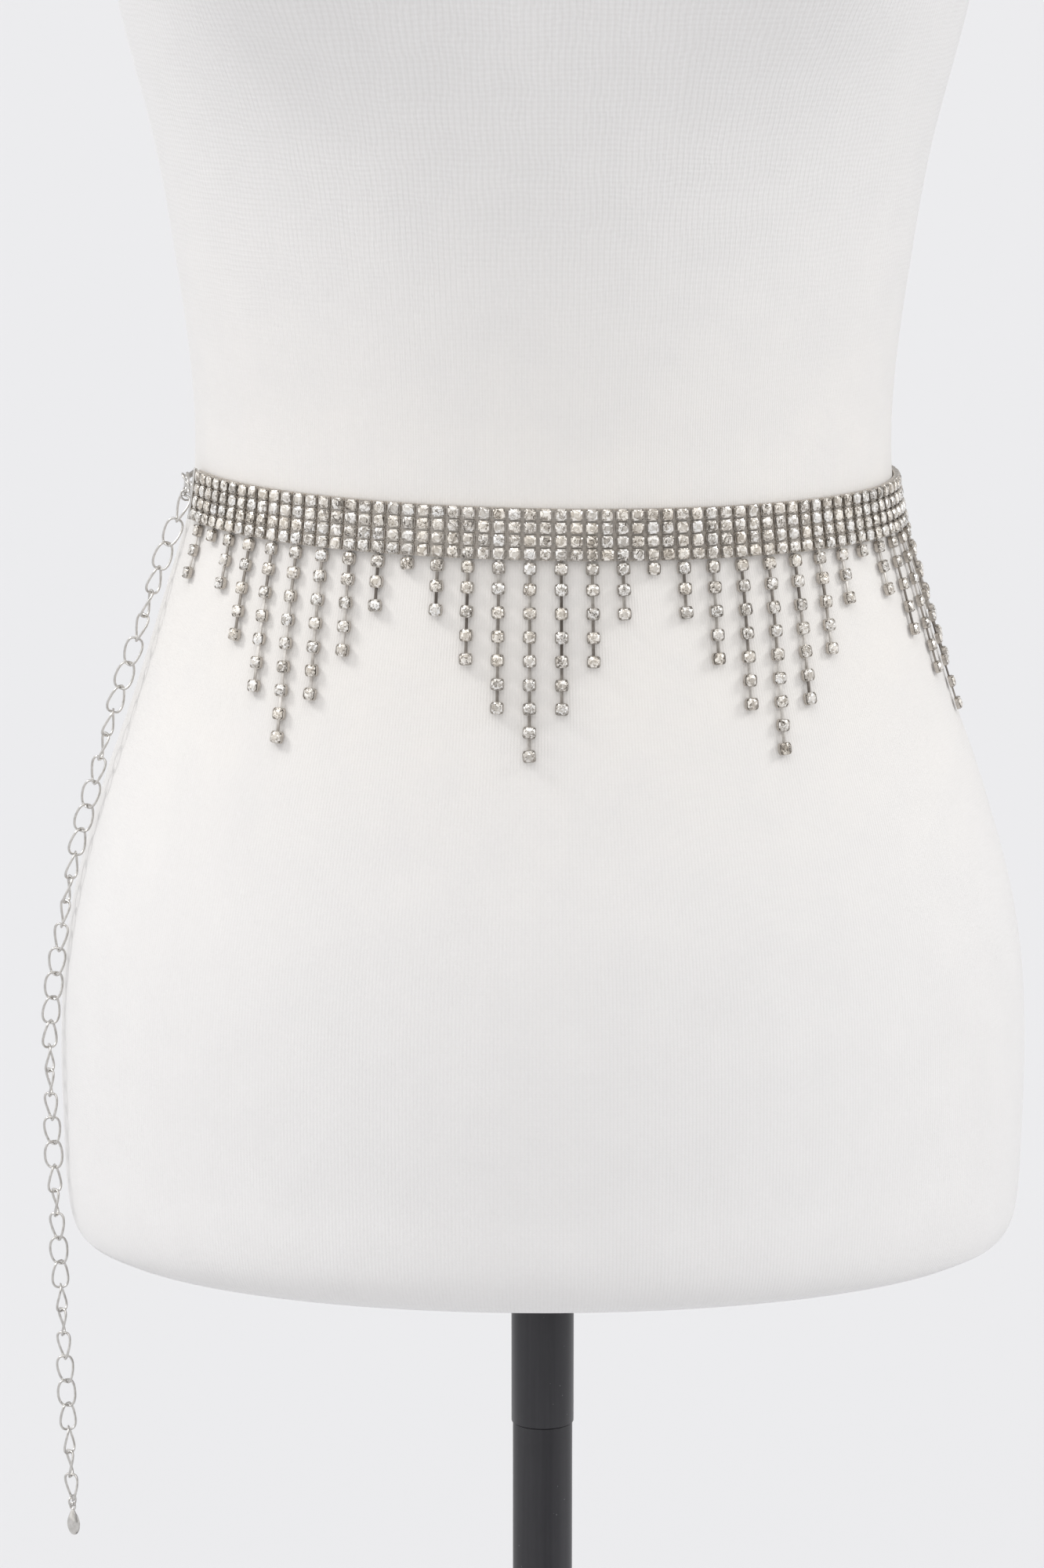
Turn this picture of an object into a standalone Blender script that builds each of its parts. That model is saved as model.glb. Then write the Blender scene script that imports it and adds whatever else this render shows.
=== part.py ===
"""A gemstone belt worn on a limbless dress form.

The belt is a band of claw-set stones, four rows high, with a fringe of stone strands in
points, closed at the wearer's right side by a spring clasp, with a long extender chain that
hangs from the closing ring. The form stands on a pole with a round base.
Metres, +Z up, +X to the wearer's left, and the wearer faces -Y. The origin is under the
pole, on the floor.
"""

import math

import bmesh
import bpy
from mathutils import Matrix, Vector

MM = 0.001
CLEAR = 0.3 * MM  # between pieces that touch

# Heights over the floor.
BELT_TOP = 1020 * MM  # the upper edge at the middle of the front
BELT_TILT = 2.2 * MM  # the belt's upper edge is this much higher at the closing's side
FORM_SEGMENTS = 30

# The dress form's level sections. Each row: height over the belt's upper edge, half width,
# depth in front of the pole and depth behind it, in millimetres.
FORM_SECTIONS = (
    (-279, 158, 96, 106),
    (-275, 165, 104, 115),
    (-264, 169, 109, 120),
    (-240, 170.5, 110, 123),
    (-205, 171, 111, 124),
    (-175, 169.5, 110.5, 123),
    (-148, 165, 109, 121),
    (-111, 154.5, 105, 115),
    (-78, 143, 101, 108),
    (-38, 130.5, 95.5, 98),
    (-18, 124.5, 92, 92.5),
    (0, 121.5, 90, 89),
    (31, 122, 90, 88),
    (75, 127.5, 93, 91),
    (113, 134, 98, 97),
    (162, 146, 105, 104),
    (205, 153, 108, 108),
    (250, 158, 104, 109),
    (290, 163, 96, 104),
    (318, 160, 84, 95),
    (340, 142, 71, 82),
    (356, 108, 60, 70),
    (368, 78, 55, 61),
    (384, 62, 52, 54),
    (410, 58, 51, 50),
    (436, 58, 51, 50),
)
# The bust, two soft mounds in front: how far they stand out, their height over the belt,
# how far they reach up and down, and their angle and reach round the form, in degrees.
BUST_OUT = 24 * MM
BUST_HEIGHT = 207 * MM
BUST_REACH = 50 * MM
BUST_ANGLE = 37
BUST_SPREAD = 24

NECK_CAP_HEIGHT = 14 * MM
# The cap's rounded side, from its top down: shares of its radius and of its height.
CAP_SIDE = ((0.55, 0.93), (0.9, 0.62), (1, 0.3), (1, 0))
MOUNT_PLATE_RADIUS = 50 * MM
MOUNT_PLATE_HEIGHT = 4 * MM
SOCKET_RADIUS = 11.2 * MM
SOCKET_LENGTH = 64 * MM
POLE_RADIUS = 10.7 * MM
HUB_RADIUS = 24 * MM
HUB_HEIGHT = 34 * MM
# The hub's side, from its top down: shares of its radius and of its height.
HUB_SIDE = ((0.72, 1), (0.78, 0.94), (0.84, 0.25), (1, 0.1), (1, 0))
BASE_RADIUS = 185 * MM
BASE_HEIGHT = 9 * MM
BASE_EDGE = 2.5 * MM
ROUND_SIDES = 24
BASE_SIDES = 40

# The band: columns of four stones, each stone a cup with a flat-topped stone in it.
ROWS = 4
ROW_PITCH = 4.5 * MM
COLUMN_PITCH = 5.2 * MM
COLUMNS = 121
FIRST_COLUMN = -27  # counted from the column of the longest strand in front
MAIN_STRAND_X = -4.7 * MM  # that column's place along the belt, from the middle of the front
BAND_IN = 0.5 * MM  # from the form's skin to the back of the band
BAND_FACE = 2.0 * MM  # from the form's skin to the grooves between the stones
STONE_OUT = 1.2 * MM  # the stones' tops over the grooves
STONE_EDGE = 0.75 * MM  # the width of a stone's sloping side

# The fringe: a strand on every second column.
STRANDS_IN_POINT = 8  # strands from one longest strand to the next
LONGEST = 9  # stones
SHORTEN = 2  # stones fewer on each strand away from the longest
STRAND_PITCH = 8.0 * MM
FIRST_STONE = 2.6 * MM  # the first stone's centre under the band
SECOND_STONE = 7.0 * MM  # from the first stone to the second
STRIP_HEIGHT = 0.6 * MM
STRAND_IN = 0.6 * MM
STONE_WIDTH = 4.4 * MM
STONE_DEPTH = 2.9 * MM
LINK_WIDTH = 1.1 * MM
LINK_DEPTH = 0.9 * MM
ROOT_WIDTH = 1.8 * MM

# The closing: a bar at each end of the band, two jump rings, and a spring clasp.
CLOSING_DROP = 7.6 * MM  # the closing's height under the band's upper edge
CLOSING_OUT = 2.6 * MM  # its middle plane over the form's skin
BAR_WIDTH = 1.6 * MM
BAR_THICK = 1.1 * MM
TAB_RADIUS = 2.5 * MM
TAB_HOLE = 1.5 * MM
TAB_OUT = 2.9 * MM  # from the bar to the tab's middle
TAB_REACH = 150  # degrees of the tab's arc on each side of its tip
TAB_ARM = 1.25 * MM  # half the height of the arm that carries the tab
BACK_ARM = 20.8 * MM  # the arm of the band's back end is this much longer
ARM_STEPS = 8  # straight stretches of that arm
RING_RADIUS = 2.6 * MM
RING_WIRE = 0.38 * MM
RING_TILT = 40
CLASP_GAP = 0.4 * MM  # from a tab to the clasp
CLASP_THICK = 1.3 * MM
CLASP_LOOP = 3.0 * MM
CLASP_LOOP_HOLE = 2.15 * MM
CLASP_NARROW = 3.1 * MM  # the loop hole's narrow end, from the loop's middle
CLASP_NARROW_HALF = 0.7 * MM
CLASP_EYE = 2.5 * MM
CLASP_EYE_HOLE = 1.8 * MM

# The extender chain: oval links along a hanging route, each joined to the next at a knuckle.
LINKS = 42
LINK_PITCH = 8.8 * MM
LINK_BREADTH = 6.1 * MM  # between the middles of a link's two sides
LINK_WIRE = 1.0 * MM
LINK_BENDS = (0.3, 0.7)  # where a link's sides reach their full breadth, in shares of its length
KNUCKLE_WIDTH = 2.8 * MM
KNUCKLE_HEIGHT = 1.7 * MM
END_HEIGHT = 0.9 * MM  # the chain's first and last knuckle
SMALL_RING_RADIUS = 1.9 * MM  # the rings above and below the chain
SMALL_RING_WIRE = 0.35 * MM

# The chain's route, chosen by eye. Each row: height over the belt's upper edge, the place to
# the wearer's right and forward of the pole, in millimetres, and how far the links' faces are
# turned from the front, in degrees.
CHAIN_ROUTE = (
    (-9.1, 124.2, 12.2, -80),
    (-17.8, 127.6, 13.0, -35),
    (-25.2, 130.7, 13.8, 0),
    (-35.8, 134.4, 14.8, 46),
    (-47.3, 138.0, 15.8, 90),
    (-57.8, 141.4, 16.6, 136),
    (-67.8, 144.8, 17.2, 180),
    (-80.8, 149.2, 17.8, 224),
    (-93.8, 153.0, 18.1, 270),
    (-105.8, 156.2, 18.2, 316),
    (-117.8, 159.7, 18.2, 360),
    (-132.8, 163.6, 18.2, 405),
    (-147.8, 166.7, 18.2, 450),
    (-165.8, 169.9, 18.2, 495),
    (-182.8, 172.4, 18.2, 540),
    (-197.8, 173.8, 18.2, 585),
    (-211.8, 174.1, 18.2, 630),
    (-227.8, 173.8, 18.2, 675),
    (-242.8, 173.3, 18.2, 725),
    (-256.8, 172.9, 18.2, 800),
    (-279.8, 171.9, 18.2, 900),
    (-300.8, 171.1, 18.2, 990),
    (-329.8, 170.0, 18.2, 1080),
    (-354.8, 169.1, 18.2, 1170),
    (-373.8, 168.4, 18.2, 1230),
    (-397.8, 167.6, 18.2, 1290),
)

# The drop at the chain's end.
DROP_LENGTH = 12.2 * MM
DROP_WIDTH = 5.4 * MM
DROP_THICK = 1.6 * MM
DROP_HOLE = 0.8 * MM
DROP_BAR = 0.7 * MM


def clear_scene():
    for thing in list(bpy.data.objects):
        bpy.data.objects.remove(thing)


def new_material(name, colour, roughness, metallic):
    material = bpy.data.materials.new(name)
    material.use_nodes = True
    shader = material.node_tree.nodes["Principled BSDF"]
    shader.inputs["Base Color"].default_value = (*colour, 1)
    shader.inputs["Roughness"].default_value = roughness
    shader.inputs["Metallic"].default_value = metallic
    return material


def smooth_value(rows, at, column):
    """A column of a table with rising first values, read between its rows by a cubic."""
    xs = [row[0] for row in rows]
    ys = [row[column] for row in rows]
    i = max(0, min(len(xs) - 2, sum(x <= at for x in xs) - 1))

    def slope(k):
        low = max(0, k - 1)
        high = min(len(xs) - 1, k + 1)
        return (ys[high] - ys[low]) / (xs[high] - xs[low])

    width = xs[i + 1] - xs[i]
    u = max(0.0, min(1.0, (at - xs[i]) / width))
    rise = ys[i + 1] - ys[i]
    a = slope(i) * width - rise
    b = rise - slope(i + 1) * width
    return ys[i] + u * rise + u * (1 - u) * (a * (1 - u) + b * u)


def form_section(height, out):
    """Half width, front depth and back depth of the form at a height, moved out."""
    over_belt = (height - BELT_TOP) / MM
    sizes = [smooth_value(FORM_SECTIONS, over_belt, column) for column in (1, 2, 3)]
    return [size * MM + out for size in sizes]


def ring_point(angle, height, out):
    """A point of the form's outline at a height; angle 0 is the middle of the front."""
    half, front, back = form_section(height, out)
    depth = front if math.cos(angle) > 0 else back
    return Vector((half * math.sin(angle), -depth * math.cos(angle), height))


def level_normal(point, out):
    """The level direction straight out of the form at a point near its skin."""
    half, front, back = form_section(point.z, out)
    depth = front if point.y < 0 else back
    return Vector((point.x / half**2, point.y / depth**2, 0)).normalized()


def next_down(point, drop, out):
    """The point of the skin that much lower, straight down the slope."""
    half, front, back = form_section(point.z - drop, out)
    depth = front if point.y < 0 else back
    normal = level_normal(point, out)
    p = Vector((point.x / half, point.y / depth))
    n = Vector((normal.x / half, normal.y / depth))
    a = n.dot(n)
    b = p.dot(n)
    c = p.dot(p) - 1
    move = (-b + math.sqrt(b * b - a * c)) / a
    return Vector((point.x + normal.x * move, point.y + normal.y * move, point.z - drop))


def slope_frame(point, out):
    """Axes on the skin: along the belt, up the slope and outwards, as a matrix."""
    normal = level_normal(point, out)
    along = Vector((-normal.y, normal.x, 0))
    up = (point - next_down(point, MM, out)).normalized()
    outward = along.cross(up)
    axes = Matrix((along, up, outward)).transposed().to_4x4()
    return Matrix.Translation(point) @ axes


def belt_ruler():
    """Angles round the belt's upper edge, with the length from the middle of the front."""
    steps = 1440
    places = [(0.0, 0.0)]
    before = ring_point(0, BELT_TOP, BAND_FACE)
    for i in range(1, steps + 1):
        angle = 2 * math.pi * i / steps
        here = ring_point(angle, BELT_TOP, BAND_FACE)
        places.append((places[-1][0] + (here - before).length, angle))
        before = here
    return places


RULER = belt_ruler()
BELT_ROUND = RULER[-1][0]
BAND_START = MAIN_STRAND_X + (FIRST_COLUMN - 0.5) * COLUMN_PITCH
BAND_END = BAND_START + COLUMNS * COLUMN_PITCH


def angle_at(along):
    """The angle at a length along the belt's upper edge."""
    turns, rest = divmod(along, BELT_ROUND)
    low = 0
    high = len(RULER) - 1
    while high - low > 1:
        middle = (low + high) // 2
        if RULER[middle][0] <= rest:
            low = middle
        else:
            high = middle
    share = (rest - RULER[low][0]) / (RULER[high][0] - RULER[low][0])
    return RULER[low][1] + share * (RULER[high][1] - RULER[low][1]) + turns * 2 * math.pi


def skin_path(along, length):
    """Points down the skin from the belt's upper edge, 0.5 mm of height apart."""
    angle = angle_at(along)
    points = [ring_point(angle, BELT_TOP - BELT_TILT * math.sin(angle), 0)]
    distance = [0.0]
    while distance[-1] < length:
        points.append(next_down(points[-1], 0.5 * MM, 0))
        distance.append(distance[-1] + (points[-1] - points[-2]).length)
    return points, distance


def point_down(path, length):
    """The point of a path at a length from its start."""
    points, distance = path
    i = max(k for k in range(len(distance) - 1) if distance[k] <= length)
    share = (length - distance[i]) / (distance[i + 1] - distance[i])
    return points[i].lerp(points[i + 1], share)


def add_mesh(name, mesh_edit, material, smooth_degrees=None):
    """Turns an edited mesh into an object of the belt's collection."""
    mesh = bpy.data.meshes.new(name)
    mesh_edit.to_mesh(mesh)
    mesh_edit.free()
    mesh.materials.append(material)
    if smooth_degrees:
        mesh.shade_smooth()
        mesh.set_sharp_from_angle(angle=math.radians(smooth_degrees))
    thing = bpy.data.objects.new(name, mesh)
    bpy.data.collections["Gemstone belt"].objects.link(thing)
    return thing


def add_corners(edit, corners):
    return [edit.verts.new(corner) for corner in corners]


def add_tube(edit, sections):
    """Side faces through sections of equal point counts."""
    count = len(sections[0])
    return [
        edit.faces.new((one[i], one[(i + 1) % count], other[(i + 1) % count], other[i]))
        for one, other in zip(sections, sections[1:])
        for i in range(count)
    ]


def loft(rings):
    """A closed mesh through rings of equal point counts, and its side faces ring by ring."""
    edit = bmesh.new()
    rows = [add_corners(edit, ring) for ring in rings]
    sides = [add_tube(edit, pair) for pair in zip(rows, rows[1:])]
    edit.faces.new(list(reversed(rows[0])))
    edit.faces.new(rows[-1])
    return edit, sides


def bust_out(angle, height):
    """How far the bust stands out of the plain section."""
    up = (height - BELT_TOP - BUST_HEIGHT) / BUST_REACH
    total = 0.0
    for side in (-1, 1):
        round_it = (math.degrees(angle) - side * BUST_ANGLE) / BUST_SPREAD
        total += BUST_OUT * math.exp(-(up * up) - round_it * round_it)
    return total


def form_rings():
    """The form's sections from the bottom up, with more of them where it turns quickly."""
    heights = [-279, -275, -263, -235, -190, -148, -111, -75, -50, -32, -18, -6, 6, 31, 75, 113]
    heights += [148, 175, 197, 218, 241, 267, 300, 325, 345, 360, 378, 436]
    rings = []
    for over_belt in heights:
        height = BELT_TOP + over_belt * MM
        ring = []
        for i in range(FORM_SEGMENTS):
            angle = 2 * math.pi * i / FORM_SEGMENTS
            signed = angle if angle <= math.pi else angle - 2 * math.pi
            ring.append(ring_point(angle, height, bust_out(signed, height)))
        rings.append(ring)
    return rings


def make_form(cloth):
    edit = loft(form_rings())[0]
    bmesh.ops.recalc_face_normals(edit, faces=edit.faces[:])
    add_mesh("torso_form", edit, cloth, smooth_degrees=40)


def turned(name, profile, material, sides=ROUND_SIDES):
    """A turned solid from a profile of (radius, height) pairs that runs down its side."""
    edit = bmesh.new()
    points = [edit.verts.new((radius, 0, height)) for radius, height in profile]
    for start, end in zip(points, points[1:]):
        edit.edges.new((start, end))
    thing = add_mesh(name, edit, material)
    screw = thing.modifiers.new("turn", "SCREW")
    screw.steps = sides
    screw.render_steps = sides
    screw.use_merge_vertices = True
    screw.merge_threshold = 0.00001
    screw.use_smooth_shade = False
    return thing


def plain_rod(name, radius, top, low, paint):
    turned(name, ((0, top), (radius, top), (radius, low), (0, low)), paint)


def make_stand(paint):
    """The neck cap, and the stand from the plate under the form down to the base."""
    form_top = BELT_TOP + FORM_SECTIONS[-1][0] * MM
    form_bottom = BELT_TOP + FORM_SECTIONS[0][0] * MM
    half, front, _ = [size * MM for size in FORM_SECTIONS[-1][1:]]
    cap_low = form_top + CLEAR
    side = [(front * out, cap_low + NECK_CAP_HEIGHT * up) for out, up in CAP_SIDE]
    cap = turned("neck_cap", [(0, cap_low + NECK_CAP_HEIGHT)] + side + [(0, cap_low)], paint)
    cap.scale.x = half / front

    plate_top = form_bottom - CLEAR
    socket_top = plate_top - MOUNT_PLATE_HEIGHT - CLEAR
    pole_top = socket_top - SOCKET_LENGTH - CLEAR
    hub_low = BASE_HEIGHT + CLEAR
    plain_rod("mount_plate", MOUNT_PLATE_RADIUS, plate_top, plate_top - MOUNT_PLATE_HEIGHT, paint)
    plain_rod("pole_socket", SOCKET_RADIUS, socket_top, socket_top - SOCKET_LENGTH, paint)
    plain_rod("pole", POLE_RADIUS, pole_top, hub_low, paint)
    bore = POLE_RADIUS + CLEAR
    side = [(HUB_RADIUS * out, hub_low + HUB_HEIGHT * up) for out, up in HUB_SIDE]
    turned("base_hub", [(bore, side[0][1])] + side + [(bore, hub_low), (bore, side[0][1])], paint)
    edge = ((BASE_RADIUS - BASE_EDGE, BASE_HEIGHT), (BASE_RADIUS, BASE_HEIGHT - BASE_EDGE))
    profile = ((0, BASE_HEIGHT), *edge, (BASE_RADIUS, 0), (0, 0))
    turned("base_plate", profile, paint, sides=BASE_SIDES)


def make_band(stones):
    """A wall round the form whose outer face carries a flat-topped stone in each cell."""
    rings = []
    for column in range(COLUMNS + 1):
        path = skin_path(BAND_START + column * COLUMN_PITCH, ROWS * ROW_PITCH)
        levels = [point_down(path, row * ROW_PITCH) for row in range(ROWS + 1)]
        outward = [slope_frame(level, 0).col[2].to_3d() for level in levels]
        face = [level + normal * BAND_FACE for level, normal in zip(levels, outward)]
        back = [levels[-1] + outward[-1] * BAND_IN, levels[0] + outward[0] * BAND_IN]
        rings.append(face + back)
    edit, sides = loft(rings)
    edit.normal_update()
    cells = [face for column in sides for face in column[:ROWS]]
    bmesh.ops.inset_individual(
        edit, faces=cells, thickness=STONE_EDGE, depth=STONE_OUT, use_even_offset=True
    )
    bmesh.ops.recalc_face_normals(edit, faces=edit.faces[:])
    add_mesh("stone_band", edit, stones)


def strand_stones(strand):
    """How many stones hang on a strand, counted from the longest one in front."""
    place = strand % STRANDS_IN_POINT
    return LONGEST - SHORTEN * min(place, STRANDS_IN_POINT - place)


def strand_sections(stones):
    """Down a strand: the length under the band's upper edge, the width and the depth.

    It is narrow at each link and widest at the middle of each stone.
    """
    centre = ROWS * ROW_PITCH + FIRST_STONE
    sections = []
    for stone in range(stones):
        sections.append((centre, STONE_WIDTH, STONE_DEPTH))
        step = SECOND_STONE if stone == 0 else STRAND_PITCH
        narrow = step / 2 if stone < stones - 1 else STONE_WIDTH / 2
        sections.append((centre + narrow, LINK_WIDTH, LINK_DEPTH))
        centre += step
    return sections


def strand_corners(path, length, width, depth):
    """The four corners of a strand's section, in order round it from the left front one."""
    frame = slope_frame(point_down(path, length), 0)
    return [
        frame @ Vector((side * width / 2, 0, STRAND_IN + out))
        for side, out in ((-1, depth), (-1, 0), (1, 0), (1, depth))
    ]


def make_fringe(stones):
    """A narrow strip under the band, with every strand drawn down out of its lower face."""
    strands = range(math.ceil(FIRST_COLUMN / 2), (FIRST_COLUMN + COLUMNS - 1) // 2 + 1)
    strip_top = ROWS * ROW_PITCH + CLEAR
    strip_low = strip_top + STRIP_HEIGHT
    rings = []
    for strand in strands:
        for side in (-1, 1):
            along = MAIN_STRAND_X + 2 * strand * COLUMN_PITCH + side * ROOT_WIDTH / 2
            path = skin_path(along, strip_low + MM)
            upper = slope_frame(point_down(path, strip_top), 0)
            lower = slope_frame(point_down(path, strip_low), 0)
            back = Vector((0, 0, STRAND_IN))
            front = Vector((0, 0, STRAND_IN + LINK_DEPTH))
            rings.append([upper @ front, lower @ front, lower @ back, upper @ back])
    edit, sides = loft(rings)
    roots = [list(sides[2 * number][1].verts) for number in range(len(strands))]
    root_faces = [sides[2 * number][1] for number in range(len(strands))]
    bmesh.ops.delete(edit, geom=root_faces, context="FACES_ONLY")
    for strand, root in zip(strands, roots):
        sections = strand_sections(strand_stones(strand))
        path = skin_path(MAIN_STRAND_X + 2 * strand * COLUMN_PITCH, sections[-1][0] + MM)
        rows = [add_corners(edit, strand_corners(path, *section)) for section in sections]
        add_tube(edit, [root] + rows)
        edit.faces.new(rows[-1])
    bmesh.ops.recalc_face_normals(edit, faces=edit.faces[:])
    add_mesh("stone_fringe", edit, stones)


def closing_frame(along, turn=0):
    """Axes on the form at the closing: along the belt, up and outwards."""
    path = skin_path(along, CLOSING_DROP + MM)
    frame = slope_frame(point_down(path, CLOSING_DROP), 0)
    lift = Matrix.Translation((0, 0, CLOSING_OUT))
    return frame @ lift @ Matrix.Rotation(math.radians(turn), 4, "X")


def flat_piece(name, outlines, thickness, frame, material):
    """A flat plate from closed outlines in its own plane; the inner ones are holes."""
    curve = bpy.data.curves.new(name, "CURVE")
    curve.dimensions = "2D"
    curve.fill_mode = "BOTH"
    curve.extrude = thickness / 2
    for outline in outlines:
        spline = curve.splines.new("POLY")
        spline.points.add(len(outline) - 1)
        for point, (x, y) in zip(spline.points, outline):
            point.co = (x, y, 0, 1)
        spline.use_cyclic_u = True
    curve.materials.append(material)
    thing = bpy.data.objects.new(name, curve)
    thing.matrix_world = frame
    bpy.data.collections["Gemstone belt"].objects.link(thing)
    return thing


def arc_points(centre, radius, start, end, count):
    """Points along an arc, from one angle to another in degrees."""
    return [
        (
            centre[0] + radius * math.cos(math.radians(start + (end - start) * i / count)),
            centre[1] + radius * math.sin(math.radians(start + (end - start) * i / count)),
        )
        for i in range(count + 1)
    ]


def circle_points(centre, radius, count=12):
    return arc_points(centre, radius, 0, 360, count)[:-1]


def make_end_bar(name, edge, side, arm, metal):
    """A bar along the end of the band, with a round tab, and where the tab's hole is.

    side is -1 where the tab points back along the belt and 1 where it points on, and arm is
    how much further the tab stands from the bar.
    """
    low = CLOSING_DROP - ROWS * ROW_PITCH
    tab_x = BAR_WIDTH + TAB_OUT + arm
    steps = ARM_STEPS if arm else 1
    places = [BAR_WIDTH + arm * i / steps for i in range(steps)]
    outline = [(0, low), (BAR_WIDTH, low)] + [(x, -TAB_ARM) for x in places]
    outline += arc_points((tab_x, 0), TAB_RADIUS, -TAB_REACH, TAB_REACH, 10)
    outline += [(x, TAB_ARM) for x in reversed(places)]
    outline += [(BAR_WIDTH, CLOSING_DROP), (0, CLOSING_DROP)]
    hole = circle_points((tab_x, 0), TAB_HOLE)
    start = edge + side * CLEAR
    flat = flat_piece(name, (outline, hole), BAR_THICK, Matrix.Identity(4), metal)
    edit = bmesh.new()
    edit.from_mesh(bpy.data.meshes.new_from_object(flat))
    bpy.data.objects.remove(flat)
    bmesh.ops.remove_doubles(edit, verts=edit.verts[:], dist=0.001 * MM)
    frames = {}
    for vert in edit.verts:
        # the bar and the arm follow the form, and the tab is flat
        x, y, z = vert.co
        at = min(x, BAR_WIDTH + arm)
        key = round(at / MM, 3)
        if key not in frames:
            frames[key] = closing_frame(start + side * at)
        vert.co = frames[key] @ Vector((side * (x - at), y, z))
    bmesh.ops.recalc_face_normals(edit, faces=edit.faces[:])
    if edit.calc_volume(signed=True) < 0:
        bmesh.ops.reverse_faces(edit, faces=edit.faces[:])
    add_mesh(name, edit, metal)
    return start + side * tab_x


def add_ring(name, radius, wire, material):
    """A ring of round wire about its own Z axis."""
    bpy.ops.mesh.primitive_torus_add(
        major_radius=radius,
        minor_radius=wire,
        major_segments=12,
        minor_segments=4,
    )
    ring = bpy.context.object
    ring.name = name
    ring.data.materials.append(material)
    bpy.context.collection.objects.unlink(ring)
    bpy.data.collections["Gemstone belt"].objects.link(ring)
    return ring


def make_jump_ring(name, along, metal):
    """A ring turned on edge, so that it passes through a flat tab on each side."""
    ring = add_ring(name, RING_RADIUS, RING_WIRE, metal)
    ring.matrix_world = closing_frame(along, turn=RING_TILT)


def make_clasp(front_hole, back_hole, metal):
    """A spring clasp flat against the form, an eye at its back end and a loop at its front.

    Returns where the loop's middle lies along the belt.
    """
    middle = (front_hole + back_hole) / 2
    reach = (front_hole - back_hole) / 2 - TAB_RADIUS - CLASP_GAP
    loop = (reach - CLASP_LOOP, 0)
    eye = (CLASP_EYE - reach, 0)
    outline = arc_points(loop, CLASP_LOOP, -105, 105, 14)
    outline += arc_points(eye, CLASP_EYE, 75, 285, 12)
    loop_hole = arc_points(loop, CLASP_LOOP_HOLE, -115, 115, 12)
    loop_hole += [(loop[0] - CLASP_NARROW, side * CLASP_NARROW_HALF) for side in (1, -1)]
    outlines = [outline, loop_hole, circle_points(eye, CLASP_EYE_HOLE)]
    flat_piece("spring_clasp", outlines, CLASP_THICK, closing_frame(middle), metal)
    return middle + loop[0]


def make_chain_ring(along, metal):
    """The small ring through the clasp's loop, from which the chain hangs."""
    inside = CLASP_LOOP_HOLE - SMALL_RING_WIRE - CLEAR
    down = Matrix.Translation((0, -inside - SMALL_RING_RADIUS, 0))
    ring = add_ring("chain_ring", SMALL_RING_RADIUS, SMALL_RING_WIRE, metal)
    ring.matrix_world = closing_frame(along) @ down @ Matrix.Rotation(math.radians(90), 4, "Y")


def chain_line():
    """The chain's route as close points from the top, the length and the turn at each."""
    upward = tuple(reversed(CHAIN_ROUTE))
    top = CHAIN_ROUTE[0][0]
    low = CHAIN_ROUTE[-1][0]
    steps = 800
    points = []
    turns = []
    for i in range(steps + 1):
        over_belt = top + (low - top) * i / steps
        right, forward, turn = (smooth_value(upward, over_belt, column) for column in (1, 2, 3))
        points.append(Vector((-right * MM, -forward * MM, BELT_TOP + over_belt * MM)))
        turns.append(math.radians(turn))
    distance = [0.0]
    for start, end in zip(points, points[1:]):
        distance.append(distance[-1] + (end - start).length)
    return points, distance, turns


def chain_frame(line, length):
    """Axes at a length down the chain: across its face, down the chain, and out of its face."""
    points, distance, turns = line
    here = point_down((points, distance), length)
    ahead = point_down((points, distance), length + MM)
    behind = point_down((points, distance), max(0, length - MM))
    down = (ahead - behind).normalized()
    turn = turns[max(k for k in range(len(distance)) if distance[k] <= length)]
    right = (Vector((1, 0, 0)) - down * down.x).normalized()
    back = right.cross(down)
    across = right * math.cos(turn) + back * math.sin(turn)
    axes = Matrix((across, down, across.cross(down))).transposed().to_4x4()
    return Matrix.Translation(here) @ axes


def wire_corners(frame, middle, width, height=0.0):
    """Corners of a section across the chain, in order round it: two behind, two in front."""
    thick = LINK_WIRE / 2
    return [
        frame @ Vector((middle + side * width / 2, height, front * thick))
        for side, front in ((-1, -1), (1, -1), (1, 1), (-1, 1))
    ]


def knuckle_level(edit, frame, height):
    """One level of a knuckle as two halves that share their inner corners."""
    half = KNUCKLE_WIDTH / 2
    left = add_corners(edit, wire_corners(frame, -half / 2, half, height))
    outer = wire_corners(frame, half / 2, half, height)
    right = [left[1], edit.verts.new(outer[1]), edit.verts.new(outer[2]), left[2]]
    return left, right


def add_knuckle_sides(edit, upper, lower):
    """The knuckle's outer faces, leaving out the plane between its halves."""
    for half, inner in ((0, 1), (1, 3)):
        above, below = upper[half], lower[half]
        for i in range(4):
            if i != inner:
                ahead = (i + 1) % 4
                edit.faces.new((above[i], above[ahead], below[ahead], below[i]))


def link_side(edit, line, number, side):
    """The sections of one bulging side of the link above a knuckle."""
    rows = []
    for share in LINK_BENDS:
        frame = chain_frame(line, (number - 1 + share) * LINK_PITCH)
        rows.append(add_corners(edit, wire_corners(frame, side * LINK_BREADTH / 2, LINK_WIRE)))
    return rows


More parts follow.
